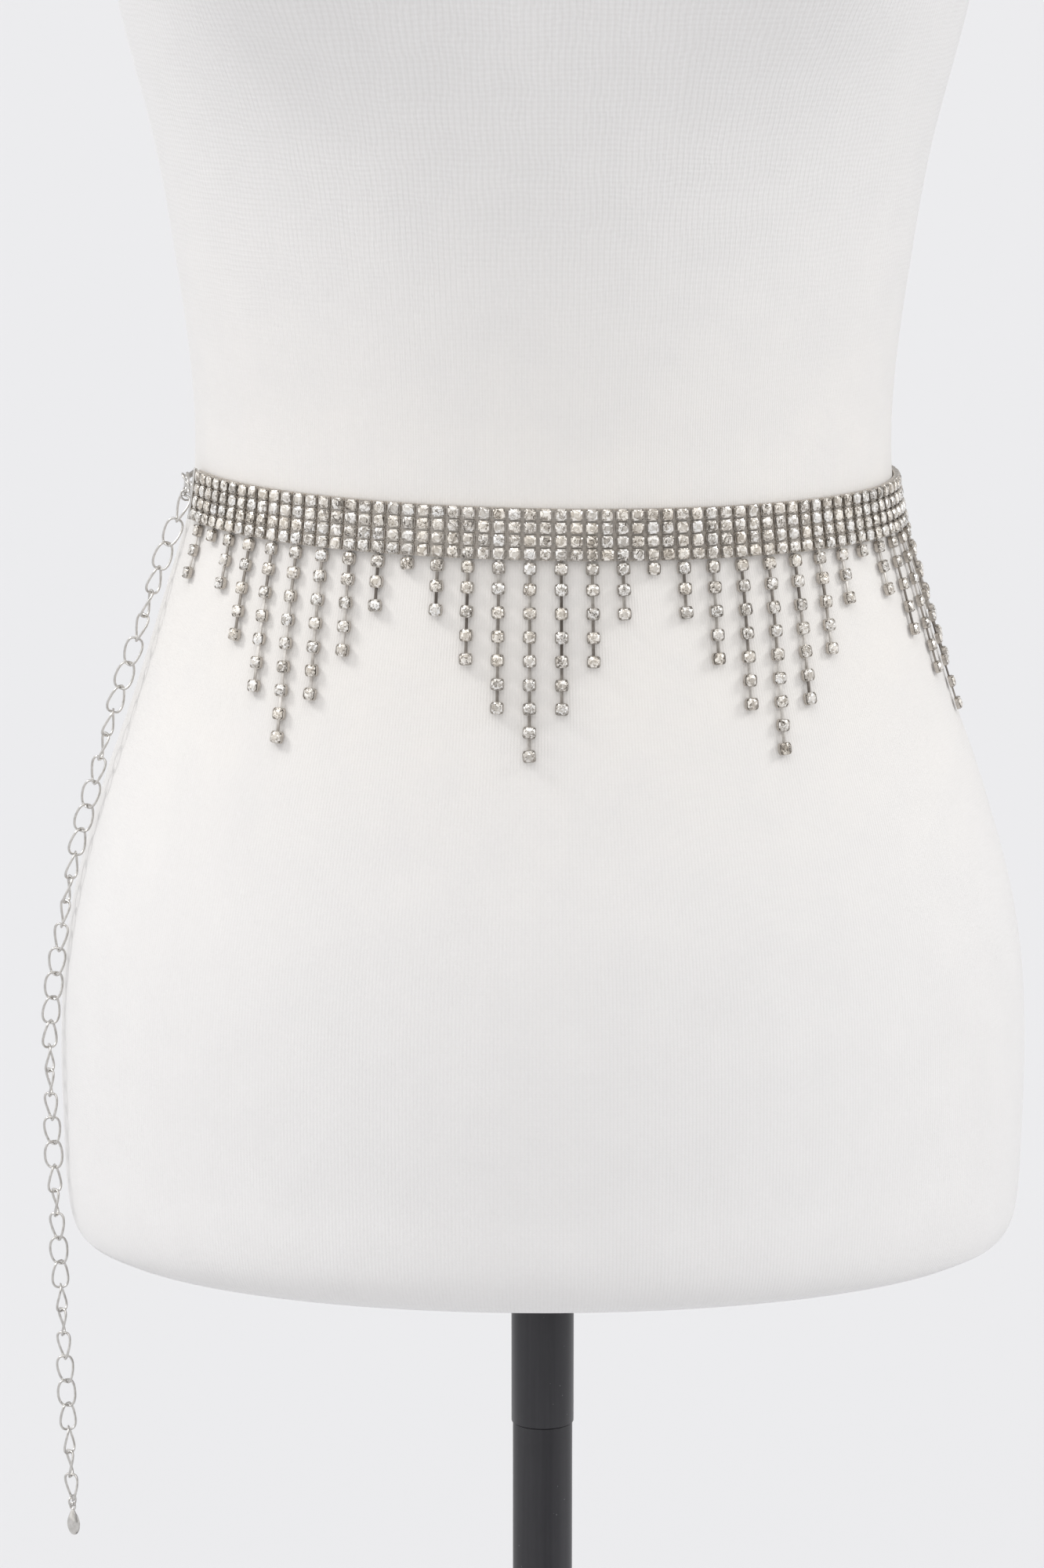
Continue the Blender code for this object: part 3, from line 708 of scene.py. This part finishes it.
chain = {
    "links": 42,
    "pitch": 8.8 * mm,
    "breadth": 6.1 * mm,
    "wire": 0.88 * mm,
    "across": 0.0071,
    "lean": 27,  # degrees that a link's ends turn out of its face
    "square": (0.62, 0.84),  # 1 is an ellipse, and less has fuller corners
    "wireSteps": (28, 8),  # round a link or a small ring, and round its wire
    "endHeight": 0.9 * mm,
    "clear": 0.3 * mm,
    "ring": 1.9 * mm,
    "ringWire": 0.35 * mm,
    "lineSteps": 800,
    # over the belt's upper edge, to the wearer's right, forward, and the faces' turn
    "route": (
        (-9.1, 124.2, 12.2, -80), (-17.8, 127.6, 13.0, -35), (-25.2, 130.7, 13.8, 0),
        (-35.8, 134.4, 14.8, 46), (-47.3, 138.0, 15.8, 90), (-57.8, 141.4, 16.6, 136),
        (-67.8, 144.8, 17.2, 180), (-80.8, 149.2, 17.8, 224), (-93.8, 153.0, 18.1, 270),
        (-105.8, 156.2, 18.2, 316), (-117.8, 159.7, 18.2, 360), (-132.8, 163.6, 18.2, 405),
        (-147.8, 166.7, 18.2, 450), (-165.8, 169.9, 18.2, 495), (-182.8, 172.4, 18.2, 540),
        (-197.8, 173.8, 18.2, 585), (-211.8, 174.1, 18.2, 630), (-227.8, 173.8, 18.2, 675),
        (-242.8, 173.3, 18.2, 725), (-256.8, 172.9, 18.2, 800), (-279.8, 171.9, 18.2, 900),
        (-300.8, 171.1, 18.2, 990), (-329.8, 170.0, 18.2, 1080), (-354.8, 169.1, 18.2, 1170),
        (-373.8, 168.4, 18.2, 1230), (-397.8, 167.6, 18.2, 1290),
    ),
}


def chainLine():
    upward = tuple(reversed(chain["route"]))
    top, low = chain["route"][0][0], chain["route"][-1][0]
    points, turns = [], []
    for i in range(chain["lineSteps"] + 1):
        overBelt = top + (low - top) * i / chain["lineSteps"]
        right, forward, turn = (smoothValue(upward, overBelt, column) for column in (1, 2, 3))
        points.append(Vector((-right * mm, -forward * mm, form["beltTop"] + overBelt * mm)))
        turns.append(math.radians(turn))
    distance = [0.0]
    for start, end in zip(points, points[1:]):
        distance.append(distance[-1] + (end - start).length)
    return points, distance, turns


def chainFrame(line, length):
    points, distance, turns = line
    here = pointDown((points, distance), length)
    ahead = pointDown((points, distance), length + mm)
    behind = pointDown((points, distance), max(0, length - mm))
    down = (ahead - behind).normalized()
    turn = turns[max(k for k in range(len(distance)) if distance[k] <= length)]
    right = (Vector((1, 0, 0)) - down * down.x).normalized()
    back = right.cross(down)
    across = right * math.cos(turn) + back * math.sin(turn)
    axes = Matrix((across, down, across.cross(down))).transposed().to_4x4()
    return Matrix.Translation(here) @ axes


def linkPoint(turn):
    # a point of a link's middle line; the sides are long and the ends turn out of the face
    halfLength = (chain["pitch"] + chain["wire"]) / 2
    sides, ends = chain["square"]
    x = math.copysign(abs(math.cos(turn)) ** sides, math.cos(turn)) * chain["breadth"] / 2
    y = math.copysign(abs(math.sin(turn)) ** ends, math.sin(turn)) * halfLength
    lean = math.radians(chain["lean"]) * y / halfLength
    return Vector((x * math.cos(lean), y, -x * math.sin(lean)))


def makeLink():
    # a round wire bent to a closed oval
    around, section = chain["wireSteps"]
    mesh = bmesh.new()
    rows = []
    for i in range(around):
        turn = 2 * math.pi * i / around
        here = linkPoint(turn)
        ahead = (linkPoint(turn + 0.02) - linkPoint(turn - 0.02)).normalized()
        side = ahead.cross(Vector((0, 0, 1))).normalized()
        top = side.cross(ahead)
        rows.append([
            mesh.verts.new(here + (side * math.cos(a) + top * math.sin(a)) * chain["wire"] / 2)
            for a in (2 * math.pi * k / section for k in range(section))
        ])
    for i in range(around):
        one, two = rows[i], rows[(i + 1) % around]
        for k in range(section):
            m = (k + 1) % section
            mesh.faces.new((one[k], one[m], two[m], two[k]))
    link = pieceFrom(mesh, "link")
    link.data.shade_smooth()
    return link


drop = {
    "length": 12.2 * mm,
    "width": 5.4 * mm,
    "thick": 3.2 * mm,
    "hole": 0.8 * mm,
    "bar": 0.7 * mm,
    # its girth, in shares of its width
    "neck": 0.42,
    "belly": 0.60,
    "footFrom": 0.66,  # the foot is fuller and rounder from this far down
    "footSwell": 0.35,
}


def makeDrop(frameHere, silver):
    # a smooth pear on a small eye
    holeTop = chain["ring"] - chain["ringWire"] - chain["clear"]
    eyeMiddle = holeTop + drop["hole"]
    top = eyeMiddle + drop["hole"] * 0.9
    low = holeTop - drop["bar"] + drop["length"]
    half = drop["width"] / 2
    deselectAll()
    bpy.ops.mesh.primitive_uv_sphere_add(segments=24, ring_count=18, radius=1)
    pear = bpy.context.object
    for vert in pear.data.vertices:
        share = (1 - vert.co.z) / 2  # 0 at the neck, 1 at the tip
        swell = math.sin(math.pi / 2 * min(1, max(0, share) / drop["footFrom"])) ** 1.2
        girth = drop["neck"] + drop["belly"] * swell
        girth += drop["footSwell"] * max(0, share - drop["footFrom"])
        vert.co = Vector((
            vert.co.x * half * girth,
            top + (low - top) * share,
            vert.co.y * drop["thick"] / 2 * girth,
        ))
    pear.data.shade_smooth()
    eye = addRing(drop["hole"] + drop["bar"] / 2, drop["bar"] / 2, 20, 8)
    settle(eye, Matrix.Translation((0, eyeMiddle, 0)))
    piece = joinPieces([pear, eye], "pearDrop")
    editMesh(piece, "FACE")
    pickAll()
    bpy.ops.mesh.normals_make_consistent(inside=False)
    endEdit()
    settle(piece, frameHere)
    finishPiece(piece, silver, "silver_plate", "chain_drop")
    return piece


def makeChain(silver):
    line = chainLine()
    places = [chainFrame(line, (n + 0.5) * chain["pitch"]) for n in range(chain["links"])]
    links = layCopies(makeLink(), places, "extenderLinks")
    finishPiece(links, silver, "silver_plate", "extender_chain")

    length = chain["links"] * chain["pitch"]
    ringMiddle = chain["ring"] - chain["ringWire"] - chain["endHeight"] / 2 - chain["clear"]
    frameHere = chainFrame(line, length + ringMiddle)
    ring = addRing(chain["ring"], chain["ringWire"], *chain["wireSteps"])
    ring.name = "dropRing"
    settle(ring, frameHere @ Matrix.Rotation(math.radians(90), 4, "Y"))
    finishPiece(ring, silver, "silver_plate", "drop_ring")
    pear = makeDrop(frameHere, silver)

    route = [tuple(pointDown(line[:2], length * i / 60)) for i in range(61)]
    print("chain made:", chain["links"], "links")


def bustOut(angle, height):
    up = (height - form["beltTop"] - form["bustHeight"]) / form["bustReach"]
    total = 0.0
    for side in (-1, 1):
        away = (math.degrees(angle) - side * form["bustAngle"]) / form["bustSpread"]
        total += form["bustOut"] * math.exp(-up * up - away * away)
    return total


def makeTorso(jerseyCloth):
    columns = form["columns"]
    over, high = form["sections"][0][0], form["sections"][-1][0]
    shoulderLow, shoulderHigh = form["shoulders"]
    heights = []
    while over < high:
        heights.append(over)
        fine = over < form["hem"] or shoulderLow < over < shoulderHigh
        over += form["fineStep"] if fine else form["rowStep"]
    heights.append(high)
    rows = []
    for over in heights:
        height = form["beltTop"] + over * mm
        row = []
        for i in range(columns):
            angle = 2 * math.pi * i / columns
            signed = angle if angle <= math.pi else angle - 2 * math.pi
            section = formSection(height, bustOut(signed, height))
            row.append(ringPoint(angle, height, section))
        rows.append(row)

    mesh = bmesh.new()
    knit = mesh.loops.layers.uv.new("knit")
    grid = [[mesh.verts.new(point) for point in row] for row in rows]
    down = [0.0]
    for one, two in zip(rows, rows[1:]):
        down.append(down[-1] + (two[0] - one[0]).length)
    for r in range(len(grid) - 1):
        for i in range(columns):
            m = (i + 1) % columns
            face = mesh.faces.new((grid[r][i], grid[r][m], grid[r + 1][m], grid[r + 1][i]))
            spots = ((i, r), (i + 1, r), (i + 1, r + 1), (i, r + 1))
            for loop, (u, v) in zip(face.loops, spots):
                loop[knit].uv = (u / columns, down[v])
            face.smooth = True
    inward = grid[0]
    for share in form["underRings"]:
        ring = [
            mesh.verts.new(Vector((p.x * share, p.y * share, p.z)))
            for p in rows[0]
        ]
        for i in range(columns):
            m = (i + 1) % columns
            face = mesh.faces.new((ring[i], ring[m], inward[m], inward[i]))
            spots = ((i, share), (i + 1, share), (i + 1, 1), (i, 1))
            for loop, (u, v) in zip(face.loops, spots):
                loop[knit].uv = (u / columns, -form["underKnit"] * (1 - v))
        inward = ring
    for end in (inward, grid[-1]):
        mesh.faces.new(end)
    torso = pieceFrom(mesh, "jerseyTorso")
    finishPiece(torso, jerseyCloth, "jersey", "torso_form")
    print("torso made:", len(torso.data.polygons), "faces")


stand = {
    "clear": 0.3 * mm,
    "capHeight": 14 * mm,
    "plateRadius": 50 * mm,
    "plateHeight": 4 * mm,
    "socketRadius": 11.2 * mm,
    "socketLength": 64 * mm,
    "poleRadius": 10.7 * mm,
    "hubRadius": 24 * mm,
    "hubHeight": 34 * mm,
    "baseRadius": 185 * mm,
    "baseHeight": 9 * mm,
    "sides": 96,
    # from the top down, in shares of the radius and of the height
    "capSide": (
        (0.35, 0.985), (0.62, 0.93), (0.8, 0.84), (0.92, 0.68), (0.985, 0.45), (1, 0.2), (1, 0),
    ),
    "hubSide": (
        (0.72, 1), (0.78, 0.94), (0.80, 0.55), (0.84, 0.28), (0.91, 0.15), (1, 0.09), (1, 0),
    ),
    "baseEdge": ((5 * mm, 0), (1.4 * mm, 1.3 * mm), (0, 4 * mm)),  # inwards and down
}


def turnPiece(name, profile, closed=False):
    # a profile of (radius, height) pairs drawn from one point and spun round the pole
    deselectAll()
    bpy.ops.mesh.primitive_plane_add(size=0.01)
    piece = bpy.context.object
    piece.name = name
    piece.data.name = name
    editMesh(piece, "VERT")
    pickAll()
    bpy.ops.mesh.merge(type="CENTER")
    bpy.ops.transform.translate(value=(profile[0][0], 0, profile[0][1]))
    for (radius, height), (nextRadius, nextHeight) in zip(profile, profile[1:]):
        step = (nextRadius - radius, 0, nextHeight - height)
        bpy.ops.mesh.extrude_region_move(TRANSFORM_OT_translate={"value": step})
    pickAll()
    if closed:
        bpy.ops.mesh.remove_doubles(threshold=0.001 * mm)
    bpy.ops.mesh.spin(
        steps=stand["sides"], angle=2 * math.pi, center=(0, 0, 0), axis=(0, 0, 1)
    )
    pickAll()
    bpy.ops.mesh.remove_doubles(threshold=0.005 * mm)
    bpy.ops.mesh.normals_make_consistent(inside=False)
    endEdit()
    return piece


def makeStand(paint):
    formTop = form["beltTop"] + form["sections"][-1][0] * mm
    formLow = form["beltTop"] + form["sections"][0][0] * mm
    half, front = form["sections"][-1][1] * mm, form["sections"][-1][2] * mm

    low = formTop + stand["clear"]
    tall = stand["capHeight"]
    side = [(front * out, low + tall * up) for out, up in stand["capSide"]]
    cap = turnPiece("neckCap", [(0, low + tall), *side, (0, low)])
    editMesh(cap, "VERT")
    pickAll()
    bpy.ops.transform.resize(value=(half / front, 1, 1), center_override=(0, 0, low))
    endEdit()
    bevelAll(cap, 0.5 * mm, 2, 40)
    finishPiece(cap, paint, "black_paint", "neck_cap")

    hubLow = stand["baseHeight"] + stand["clear"]
    plateTop = formLow - stand["clear"]
    socketTop = plateTop - stand["plateHeight"] - stand["clear"]
    poleTop = socketTop - stand["socketLength"] - stand["clear"]
    for name, node, radius, top, low, edge in (
        ("mountPlate", "mount_plate", stand["plateRadius"], plateTop,
         plateTop - stand["plateHeight"], (0.8 * mm, 3)),
        ("poleSocket", "pole_socket", stand["socketRadius"], socketTop,
         socketTop - stand["socketLength"], (0.2 * mm, 2, 20)),
        ("pole", "pole", stand["poleRadius"], poleTop, hubLow, (0.3 * mm, 2)),
    ):
        tube = turnPiece(name, ((0, top), (radius, top), (radius, low), (0, low)))
        bevelAll(tube, *edge)
        finishPiece(tube, paint, "black_paint", node)

    bore = stand["poleRadius"] + stand["clear"]
    wide, tall = stand["hubRadius"], stand["hubHeight"]
    side = [(wide * out, hubLow + tall * up) for out, up in stand["hubSide"]]
    boreTop = (bore, side[0][1])
    hub = turnPiece("baseHub", [boreTop, *side, (bore, hubLow), boreTop], closed=True)
    bevelAll(hub, 0.5 * mm, 2, 20)
    finishPiece(hub, paint, "black_paint", "base_hub")

    wide, tall = stand["baseRadius"], stand["baseHeight"]
    side = [(wide - inward, tall - down) for inward, down in stand["baseEdge"]]
    base = turnPiece("basePlate", [(0, tall), *side, (wide, 0), (0, 0)])
    bevelAll(base, 0.6 * mm, 2, 10)
    finishPiece(base, paint, "black_paint", "base_plate")
    print("stand made")


cup = {
    "width": 4.5 * mm,
    "height": 4.16 * mm,
    "low": 0.95 * mm,
    "rim": 2.25 * mm,
    "corner": 0.75 * mm,
    "wall": 0.16 * mm,
    "hollow": 0.45 * mm,
    "prong": (0.62 * mm, 0.30 * mm, 1.75 * mm),
    "prongOver": 0.55 * mm,
    "prongLean": 0.36 * mm,
    "prongTip": 0.75,  # a share of its foot
    "sideBar": (1.2 * mm, 0.36 * mm, 0.3 * mm),
    "sideBarUp": 1.15 * mm,
    "sideBarOut": 1.5 * mm,
}

stone = {
    "width": 4.02 * mm,
    "height": 3.7 * mm,
    "corner": 0.72 * mm,
    "low": 1.9 * mm,
    "girdle": 2.42 * mm,
    "middle": 2.86 * mm,
    "top": 3.16 * mm,
    "firstInset": 0.5 * mm,
    "secondInset": 0.62 * mm,
    "crownTurn": 22.5,
    "tilt": 3.5,  # degrees either way
    "attributes": ("facet", "clear", "warm"),
}


def makeCup(corner, sideBars):
    tall = cup["rim"] - cup["low"]
    body = addBlock((cup["width"], cup["height"], tall), (0, 0, cup["low"] + tall / 2))
    editMesh(body, "EDGE")
    pick(body, "edges", isUpright)
    bpy.ops.mesh.bevel(offset=corner, segments=2, affect="EDGES")
    bpy.ops.mesh.select_mode(type="FACE")
    pick(body, "faces", lambda face: face.normal.z > 0.9)
    bpy.ops.mesh.inset(thickness=cup["wall"])
    bpy.ops.mesh.extrude_region_move(TRANSFORM_OT_translate={"value": (0, 0, -cup["hollow"])})
    endEdit()
    parts = [body]
    wide, thick, tall = cup["prong"]
    for turn in (45, 135, 225, 315):
        away = Vector((math.cos(math.radians(turn)), math.sin(math.radians(turn)), 0))
        reach = (cup["width"] + cup["height"]) / 4 * math.sqrt(2) - corner * 0.62
        place = away * reach + Vector((0, 0, cup["rim"] - tall / 2 + cup["prongOver"]))
        prong = addBlock((thick, wide, tall), place, (0, 0, math.radians(turn)))
        editMesh(prong, "FACE")
        pick(prong, "faces", lambda face: face.normal.z > 0.9)
        bpy.ops.transform.translate(value=tuple(-away * cup["prongLean"]))
        bpy.ops.transform.resize(value=(cup["prongTip"], cup["prongTip"], 1))
        endEdit()
        parts.append(prong)
    if sideBars:
        for up in (-cup["sideBarUp"], cup["sideBarUp"]):
            place = (belt["columnPitch"] / 2, up, cup["sideBarOut"])
            parts.append(addBlock(cup["sideBar"], place))
    for part in parts:
        settle(part)
    return joinPieces(parts, "cup")


def makeStone(corner):
    tall = stone["girdle"] - stone["low"]
    gem = addBlock((stone["width"], stone["height"], tall), (0, 0, stone["low"] + tall / 2))
    editMesh(gem, "EDGE")
    pick(gem, "edges", isUpright)
    bpy.ops.mesh.bevel(offset=corner, segments=1, affect="EDGES")
    bpy.ops.mesh.select_mode(type="FACE")
    pick(gem, "faces", lambda face: face.normal.z > 0.9)
    for inset, level, turn in (
        (stone["firstInset"], stone["middle"] - stone["girdle"], stone["crownTurn"]),
        (stone["secondInset"], stone["top"] - stone["middle"], -stone["crownTurn"]),
    ):
        bpy.ops.mesh.inset(thickness=inset)
        bpy.ops.transform.translate(value=(0, 0, level))
        bpy.ops.transform.rotate(
            value=math.radians(turn), orient_axis="Z", center_override=(0, 0, 0)
        )
    pick(gem, "faces", lambda face: len(face.verts) == 4 and abs(face.normal.z) > 0.05)
    bpy.ops.mesh.quads_convert_to_tris(quad_method="SHORTEST_DIAGONAL")
    endEdit()
    settle(gem)
    for name in stone["attributes"]:
        gem.data.attributes.new(name, "FLOAT", "FACE")
    return gem


dice = random.Random(14)


def paintFacetLight(mesh):
    # painted reflections: every facet of every stone gets its own painted lightness, the table
    # near the stone's own
    own = dice.uniform(0.38, 0.72)
    count = len(mesh.polygons)
    # how strongly the painted inner reflections show on this stone
    clear = dice.choice((0.25, 0.7, 1.0, 1.15))
    mesh.attributes["clear"].data.foreach_set("value", [clear] * count)
    mesh.attributes["warm"].data.foreach_set("value", [dice.random()] * count)
    values = []
    for face in mesh.polygons:
        if len(face.vertices) > 4:
            values.append(own)
        elif len(face.vertices) == 4:
            # painted shade: the girdle's sides are dark round the stone
            values.append(0.1)
        else:
            values.append(min(1.0, max(0.0, own + dice.uniform(-0.55, 0.6))))
    mesh.attributes["facet"].data.foreach_set("value", values)


def stonePlaces(frames):
    # each stone sits a little askew in its cup
    places = []
    for here in frames:
        tip = math.radians(dice.uniform(-stone["tilt"], stone["tilt"]))
        roll = math.radians(dice.uniform(-stone["tilt"], stone["tilt"]))
        quarter = math.radians(90 * dice.randrange(4))
        lean = Matrix.Rotation(tip, 4, "X") @ Matrix.Rotation(roll, 4, "Y")
        middle = Matrix.Translation((0, 0, stone["girdle"]))
        places.append(here @ middle @ lean @ Matrix.Rotation(quarter, 4, "Z") @ middle.inverted())
    return places


# the thin dark strip behind the cups
carrier = {
    "rows": 8,
    "inset": 0.15 * mm,
    "out": 0.55 * mm,
    "thick": 0.5 * mm,
}


def makeCarrier(metal):
    deselectAll()
    columns = belt["columns"] * 2
    bpy.ops.mesh.primitive_grid_add(
        x_subdivisions=columns, y_subdivisions=carrier["rows"], size=1
    )
    strip = bpy.context.object
    strip.name = "bandCarrier"
    strip.data.name = "bandCarrier"
    paths = {}
    for vert in strip.data.vertices:
        column = round((vert.co.x + 0.5) * columns)
        if column not in paths:
            along = bandStart + (bandEnd - bandStart) * column / columns
            paths[column] = skinPath(along, bandHeight + mm)
        deep = carrier["inset"] + (0.5 - vert.co.y) * (bandHeight - 2 * carrier["inset"])
        here = skinFrame(pointDown(paths[column], deep))
        vert.co = here @ Vector((0, 0, carrier["out"]))
    thick = strip.modifiers.new("thickness", "SOLIDIFY")
    thick.thickness = carrier["thick"]
    thick.offset = 1
    bpy.ops.object.modifier_apply(modifier=thick.name)
    finishPiece(strip, metal, "silver_plate")
    print("carrier made")


def makeBand(cupMetal, cutCrystal):
    frames = []
    for column in range(belt["columns"]):
        path = skinPath(bandStart + (column + 0.5) * belt["columnPitch"], bandHeight)
        for row in range(belt["rows"]):
            frames.append(skinFrame(pointDown(path, (row + 0.5) * belt["rowPitch"])))
    cups = layCopies(makeCup(cup["corner"], True), frames, "bandCups")
    finishPiece(cups, cupMetal, "silver_plate", "stone_band")

    gem = makeStone(stone["corner"])
    gems = layCopies(gem, stonePlaces(frames), "bandStones", paintFacetLight)
    finishPiece(gems, cutCrystal, "crystal", "stone_band")
    print("band made:", len(frames), "stones")


fringe = {
    "strandsInPoint": 8,
    "longest": 9,
    "shorten": 2,
    "pitch": 8.0 * mm,
    "first": 2.6 * mm,
    "second": 7.0 * mm,
    "barWidth": 1.05 * mm,
    "barThick": 0.6 * mm,
    "barOut": 1.35 * mm,
    "barEdge": 0.18 * mm,
    "corner": 1.0 * mm,
    "swing": 7,  # degrees either way
}


def strandStones(strand):
    place = strand % fringe["strandsInPoint"]
    away = min(place, fringe["strandsInPoint"] - place)
    return fringe["longest"] - fringe["shorten"] * away


def makeFringe(cupMetal, barMetalLitAndShaded, cutCrystal):
    first = math.ceil(belt["firstColumn"] / 2)
    last = (belt["firstColumn"] + belt["columns"] - 1) // 2
    stones, bars = [], []
    for strand in range(first, last + 1):
        along = belt["mainStrand"] + 2 * strand * belt["columnPitch"]
        count = strandStones(strand)
        centre = bandHeight + fringe["first"]
        path = skinPath(along, centre + count * fringe["pitch"] + mm)
        above = bandHeight - belt["rowPitch"] / 2
        for number in range(count):
            here = skinFrame(pointDown(path, centre))
            swing = math.radians(dice.uniform(-fringe["swing"], fringe["swing"]))
            stones.append(here @ Matrix.Rotation(swing, 4, "Z"))
            middle = skinFrame(pointDown(path, (above + centre) / 2))
            bars.append((middle, centre - above))
            above = centre
            centre += fringe["second"] if number == 0 else fringe["pitch"]

    cups = layCopies(makeCup(fringe["corner"], False), stones, "fringeCups")
    finishPiece(cups, cupMetal, "silver_plate", "stone_fringe")

    gem = makeStone(fringe["corner"])
    gems = layCopies(gem, stonePlaces(stones), "fringeStones", paintFacetLight)
    finishPiece(gems, cutCrystal, "crystal", "stone_fringe")

    bar = addBlock((fringe["barWidth"], 1, fringe["barThick"]), (0, 0, fringe["barOut"]))
    places = [here @ Matrix.Diagonal((1, length, 1, 1)) for here, length in bars]
    rods = layCopies(settle(bar), places, "fringeBars")
    bevelAll(rods, fringe["barEdge"], 2)
    finishPiece(rods, barMetalLitAndShaded, "silver_plate", "stone_fringe")
    print("fringe made:", len(stones), "stones")


closing = {
    "down": 7.6 * mm,
    "out": 2.6 * mm,
    "barWidth": 1.6 * mm,
    "barThick": 1.1 * mm,
    "tabOut": 2.9 * mm,
    "tabRadius": 2.0 * mm,
    "tabWire": 0.5 * mm,
    "tabReach": 2.5 * mm,
    "neck": (1.6 * mm, 2.2 * mm, 0.8 * mm),
    "neckAt": 2.0 * mm,
    "backArm": 20.8 * mm,
    "armCuts": 11,
    "clear": 0.3 * mm,
    "ring": 2.6 * mm,
    "ringWire": 0.38 * mm,
    "ringTilt": 40,
    "claspGap": 0.4 * mm,
    "loop": 3.0 * mm,
    "loopHole": 2.15 * mm,
    "eye": 2.5 * mm,
    "eyeHole": 1.8 * mm,
    "barrel": (0.3 * mm, 3.0 * mm, 1.5 * mm),
    "lever": (2.4 * mm, 0.7 * mm, 1.0 * mm),
    "leverAt": (-0.2 * mm, 0.15 * mm, 0.55 * mm),
    "knob": (0.9 * mm, 1.3 * mm, 1.0 * mm),
    "knobAt": (0.5 * mm, -2.0 * mm, 0.5 * mm),
}


def closingFrame(along, turn=0):
    path = skinPath(along, closing["down"] + mm)
    here = skinFrame(pointDown(path, closing["down"]))
    lift = Matrix.Translation((0, 0, closing["out"]))
    return here @ lift @ Matrix.Rotation(math.radians(turn), 4, "X")


def makeEndBar(name, node, edge, side, arm, silver):
    start = edge + side * closing["clear"]
    low = closing["down"] - bandHeight
    middle = (closing["down"] + low) / 2
    wide = closing["barWidth"]
    bar = addBlock((wide, bandHeight, closing["barThick"]), (wide / 2, middle, 0))
    long, high, thick = closing["neck"]
    neck = addBlock((long + arm, high, thick), (closing["neckAt"] + arm / 2, 0, 0))
    if arm:
        editMesh(neck, "EDGE")
        pick(neck, "edges", lambda edge: abs(edge.verts[0].co.x - edge.verts[1].co.x) > arm)
        bpy.ops.mesh.subdivide(number_cuts=closing["armCuts"])
        endEdit()
    for part in (bar, neck):
        bevelAll(part, 0.3 * mm, 3)
    tab = addRing(closing["tabRadius"], closing["tabWire"])
    tab.location = (wide + closing["tabOut"] + arm, 0, 0)
    bpy.context.view_layer.update()
    for part in (bar, neck, tab):
        settle(part)
    piece = joinPieces([bar, neck, tab], name)
    frames = {}
    for vert in piece.data.vertices:
        # the bar and the neck follow the form, and the tab is flat
        at = min(vert.co.x, wide + arm)
        key = round(at, 6)
        if key not in frames:
            frames[key] = closingFrame(start + side * at)
        vert.co = frames[key] @ Vector((side * (vert.co.x - at), vert.co.y, vert.co.z))
    if side < 0:
        piece.data.flip_normals()
    finishPiece(piece, silver, "silver_plate", node)
    return start + side * (wide + closing["tabOut"] + arm)


def makeClasp(frontHole, backHole, silver):
    middle = (frontHole + backHole) / 2
    reach = (frontHole - backHole) / 2 - closing["tabReach"] - closing["claspGap"]
    loopAt = reach - closing["loop"]
    eyeAt = closing["eye"] - reach
    wire = (closing["loop"] - closing["loopHole"]) / 2
    hook = addRing(closing["loop"] - wire, wire)
    hook.location.x = loopAt
    wire = (closing["eye"] - closing["eyeHole"]) / 2
    eye = addRing(closing["eye"] - wire, wire)
    eye.location.x = eyeAt
    between = (eyeAt + closing["eyeHole"] + loopAt - closing["loopHole"]) / 2
    long = loopAt - closing["loopHole"] - eyeAt - closing["eyeHole"]
    more, high, thick = closing["barrel"]
    barrel = addBlock((long + more, high, thick), (between, 0, 0))
    bevelAll(barrel, 0.55 * mm, 4)
    x, y, z = closing["leverAt"]
    lever = addBlock(closing["lever"], (loopAt + x, y - closing["loop"], z))
    bevelAll(lever, 0.25 * mm, 2)
    x, y, z = closing["knobAt"]
    knob = addBlock(closing["knob"], (between + x, y, z))
    bevelAll(knob, 0.3 * mm, 3)
    parts = [hook, eye, barrel, lever, knob]
    bpy.context.view_layer.update()
    for part in parts:
        settle(part)
    piece = joinPieces(parts, "springClasp")
    settle(piece, closingFrame(middle))
    finishPiece(piece, silver, "silver_plate", "spring_clasp")
    return middle + loopAt


def makeClosing(silver):
    frontHole = makeEndBar("endBarFront", "end_bar_front", bandStart, -1, 0, silver)
    backEdge = bandEnd - beltRound
    backHole = makeEndBar("endBarBack", "end_bar_back", backEdge, 1, closing["backArm"], silver)
    for name, node, along in (
        ("jumpRingFront", "jump_ring_front", frontHole - closing["ring"]),
        ("jumpRingBack", "jump_ring_back", backHole + closing["ring"]),
    ):
        ring = addRing(closing["ring"], closing["ringWire"])
        ring.name = name
        settle(ring, closingFrame(along, closing["ringTilt"]))
        finishPiece(ring, silver, "silver_plate", node)
    loopAlong = makeClasp(frontHole, backHole, silver)

    inside = closing["loopHole"] - chain["ringWire"] - closing["clear"]
    ring = addRing(chain["ring"], chain["ringWire"], *chain["wireSteps"])
    ring.name = "chainRing"
    down = Matrix.Translation((0, -inside - chain["ring"], 0))
    settle(ring, closingFrame(loopAlong) @ down @ Matrix.Rotation(math.radians(90), 4, "Y"))
    finishPiece(ring, silver, "silver_plate", "chain_ring")
    print("closing made")


makeCamera()
silverPlate = metalFinish("silverPlate")
makeChain(silverPlate)
makeStudio()
makeSky()
makeTorso(jerseyFinish())
makeStand(paintFinish())
cupMetal = metalFinish("cupMetal")
cutCrystal = crystalFinish()
makeCarrier(metalFinish("carrierMetal"))
makeBand(cupMetal, cutCrystal)
makeFringe(cupMetal, barFinish(), cutCrystal)
makeClosing(silverPlate)
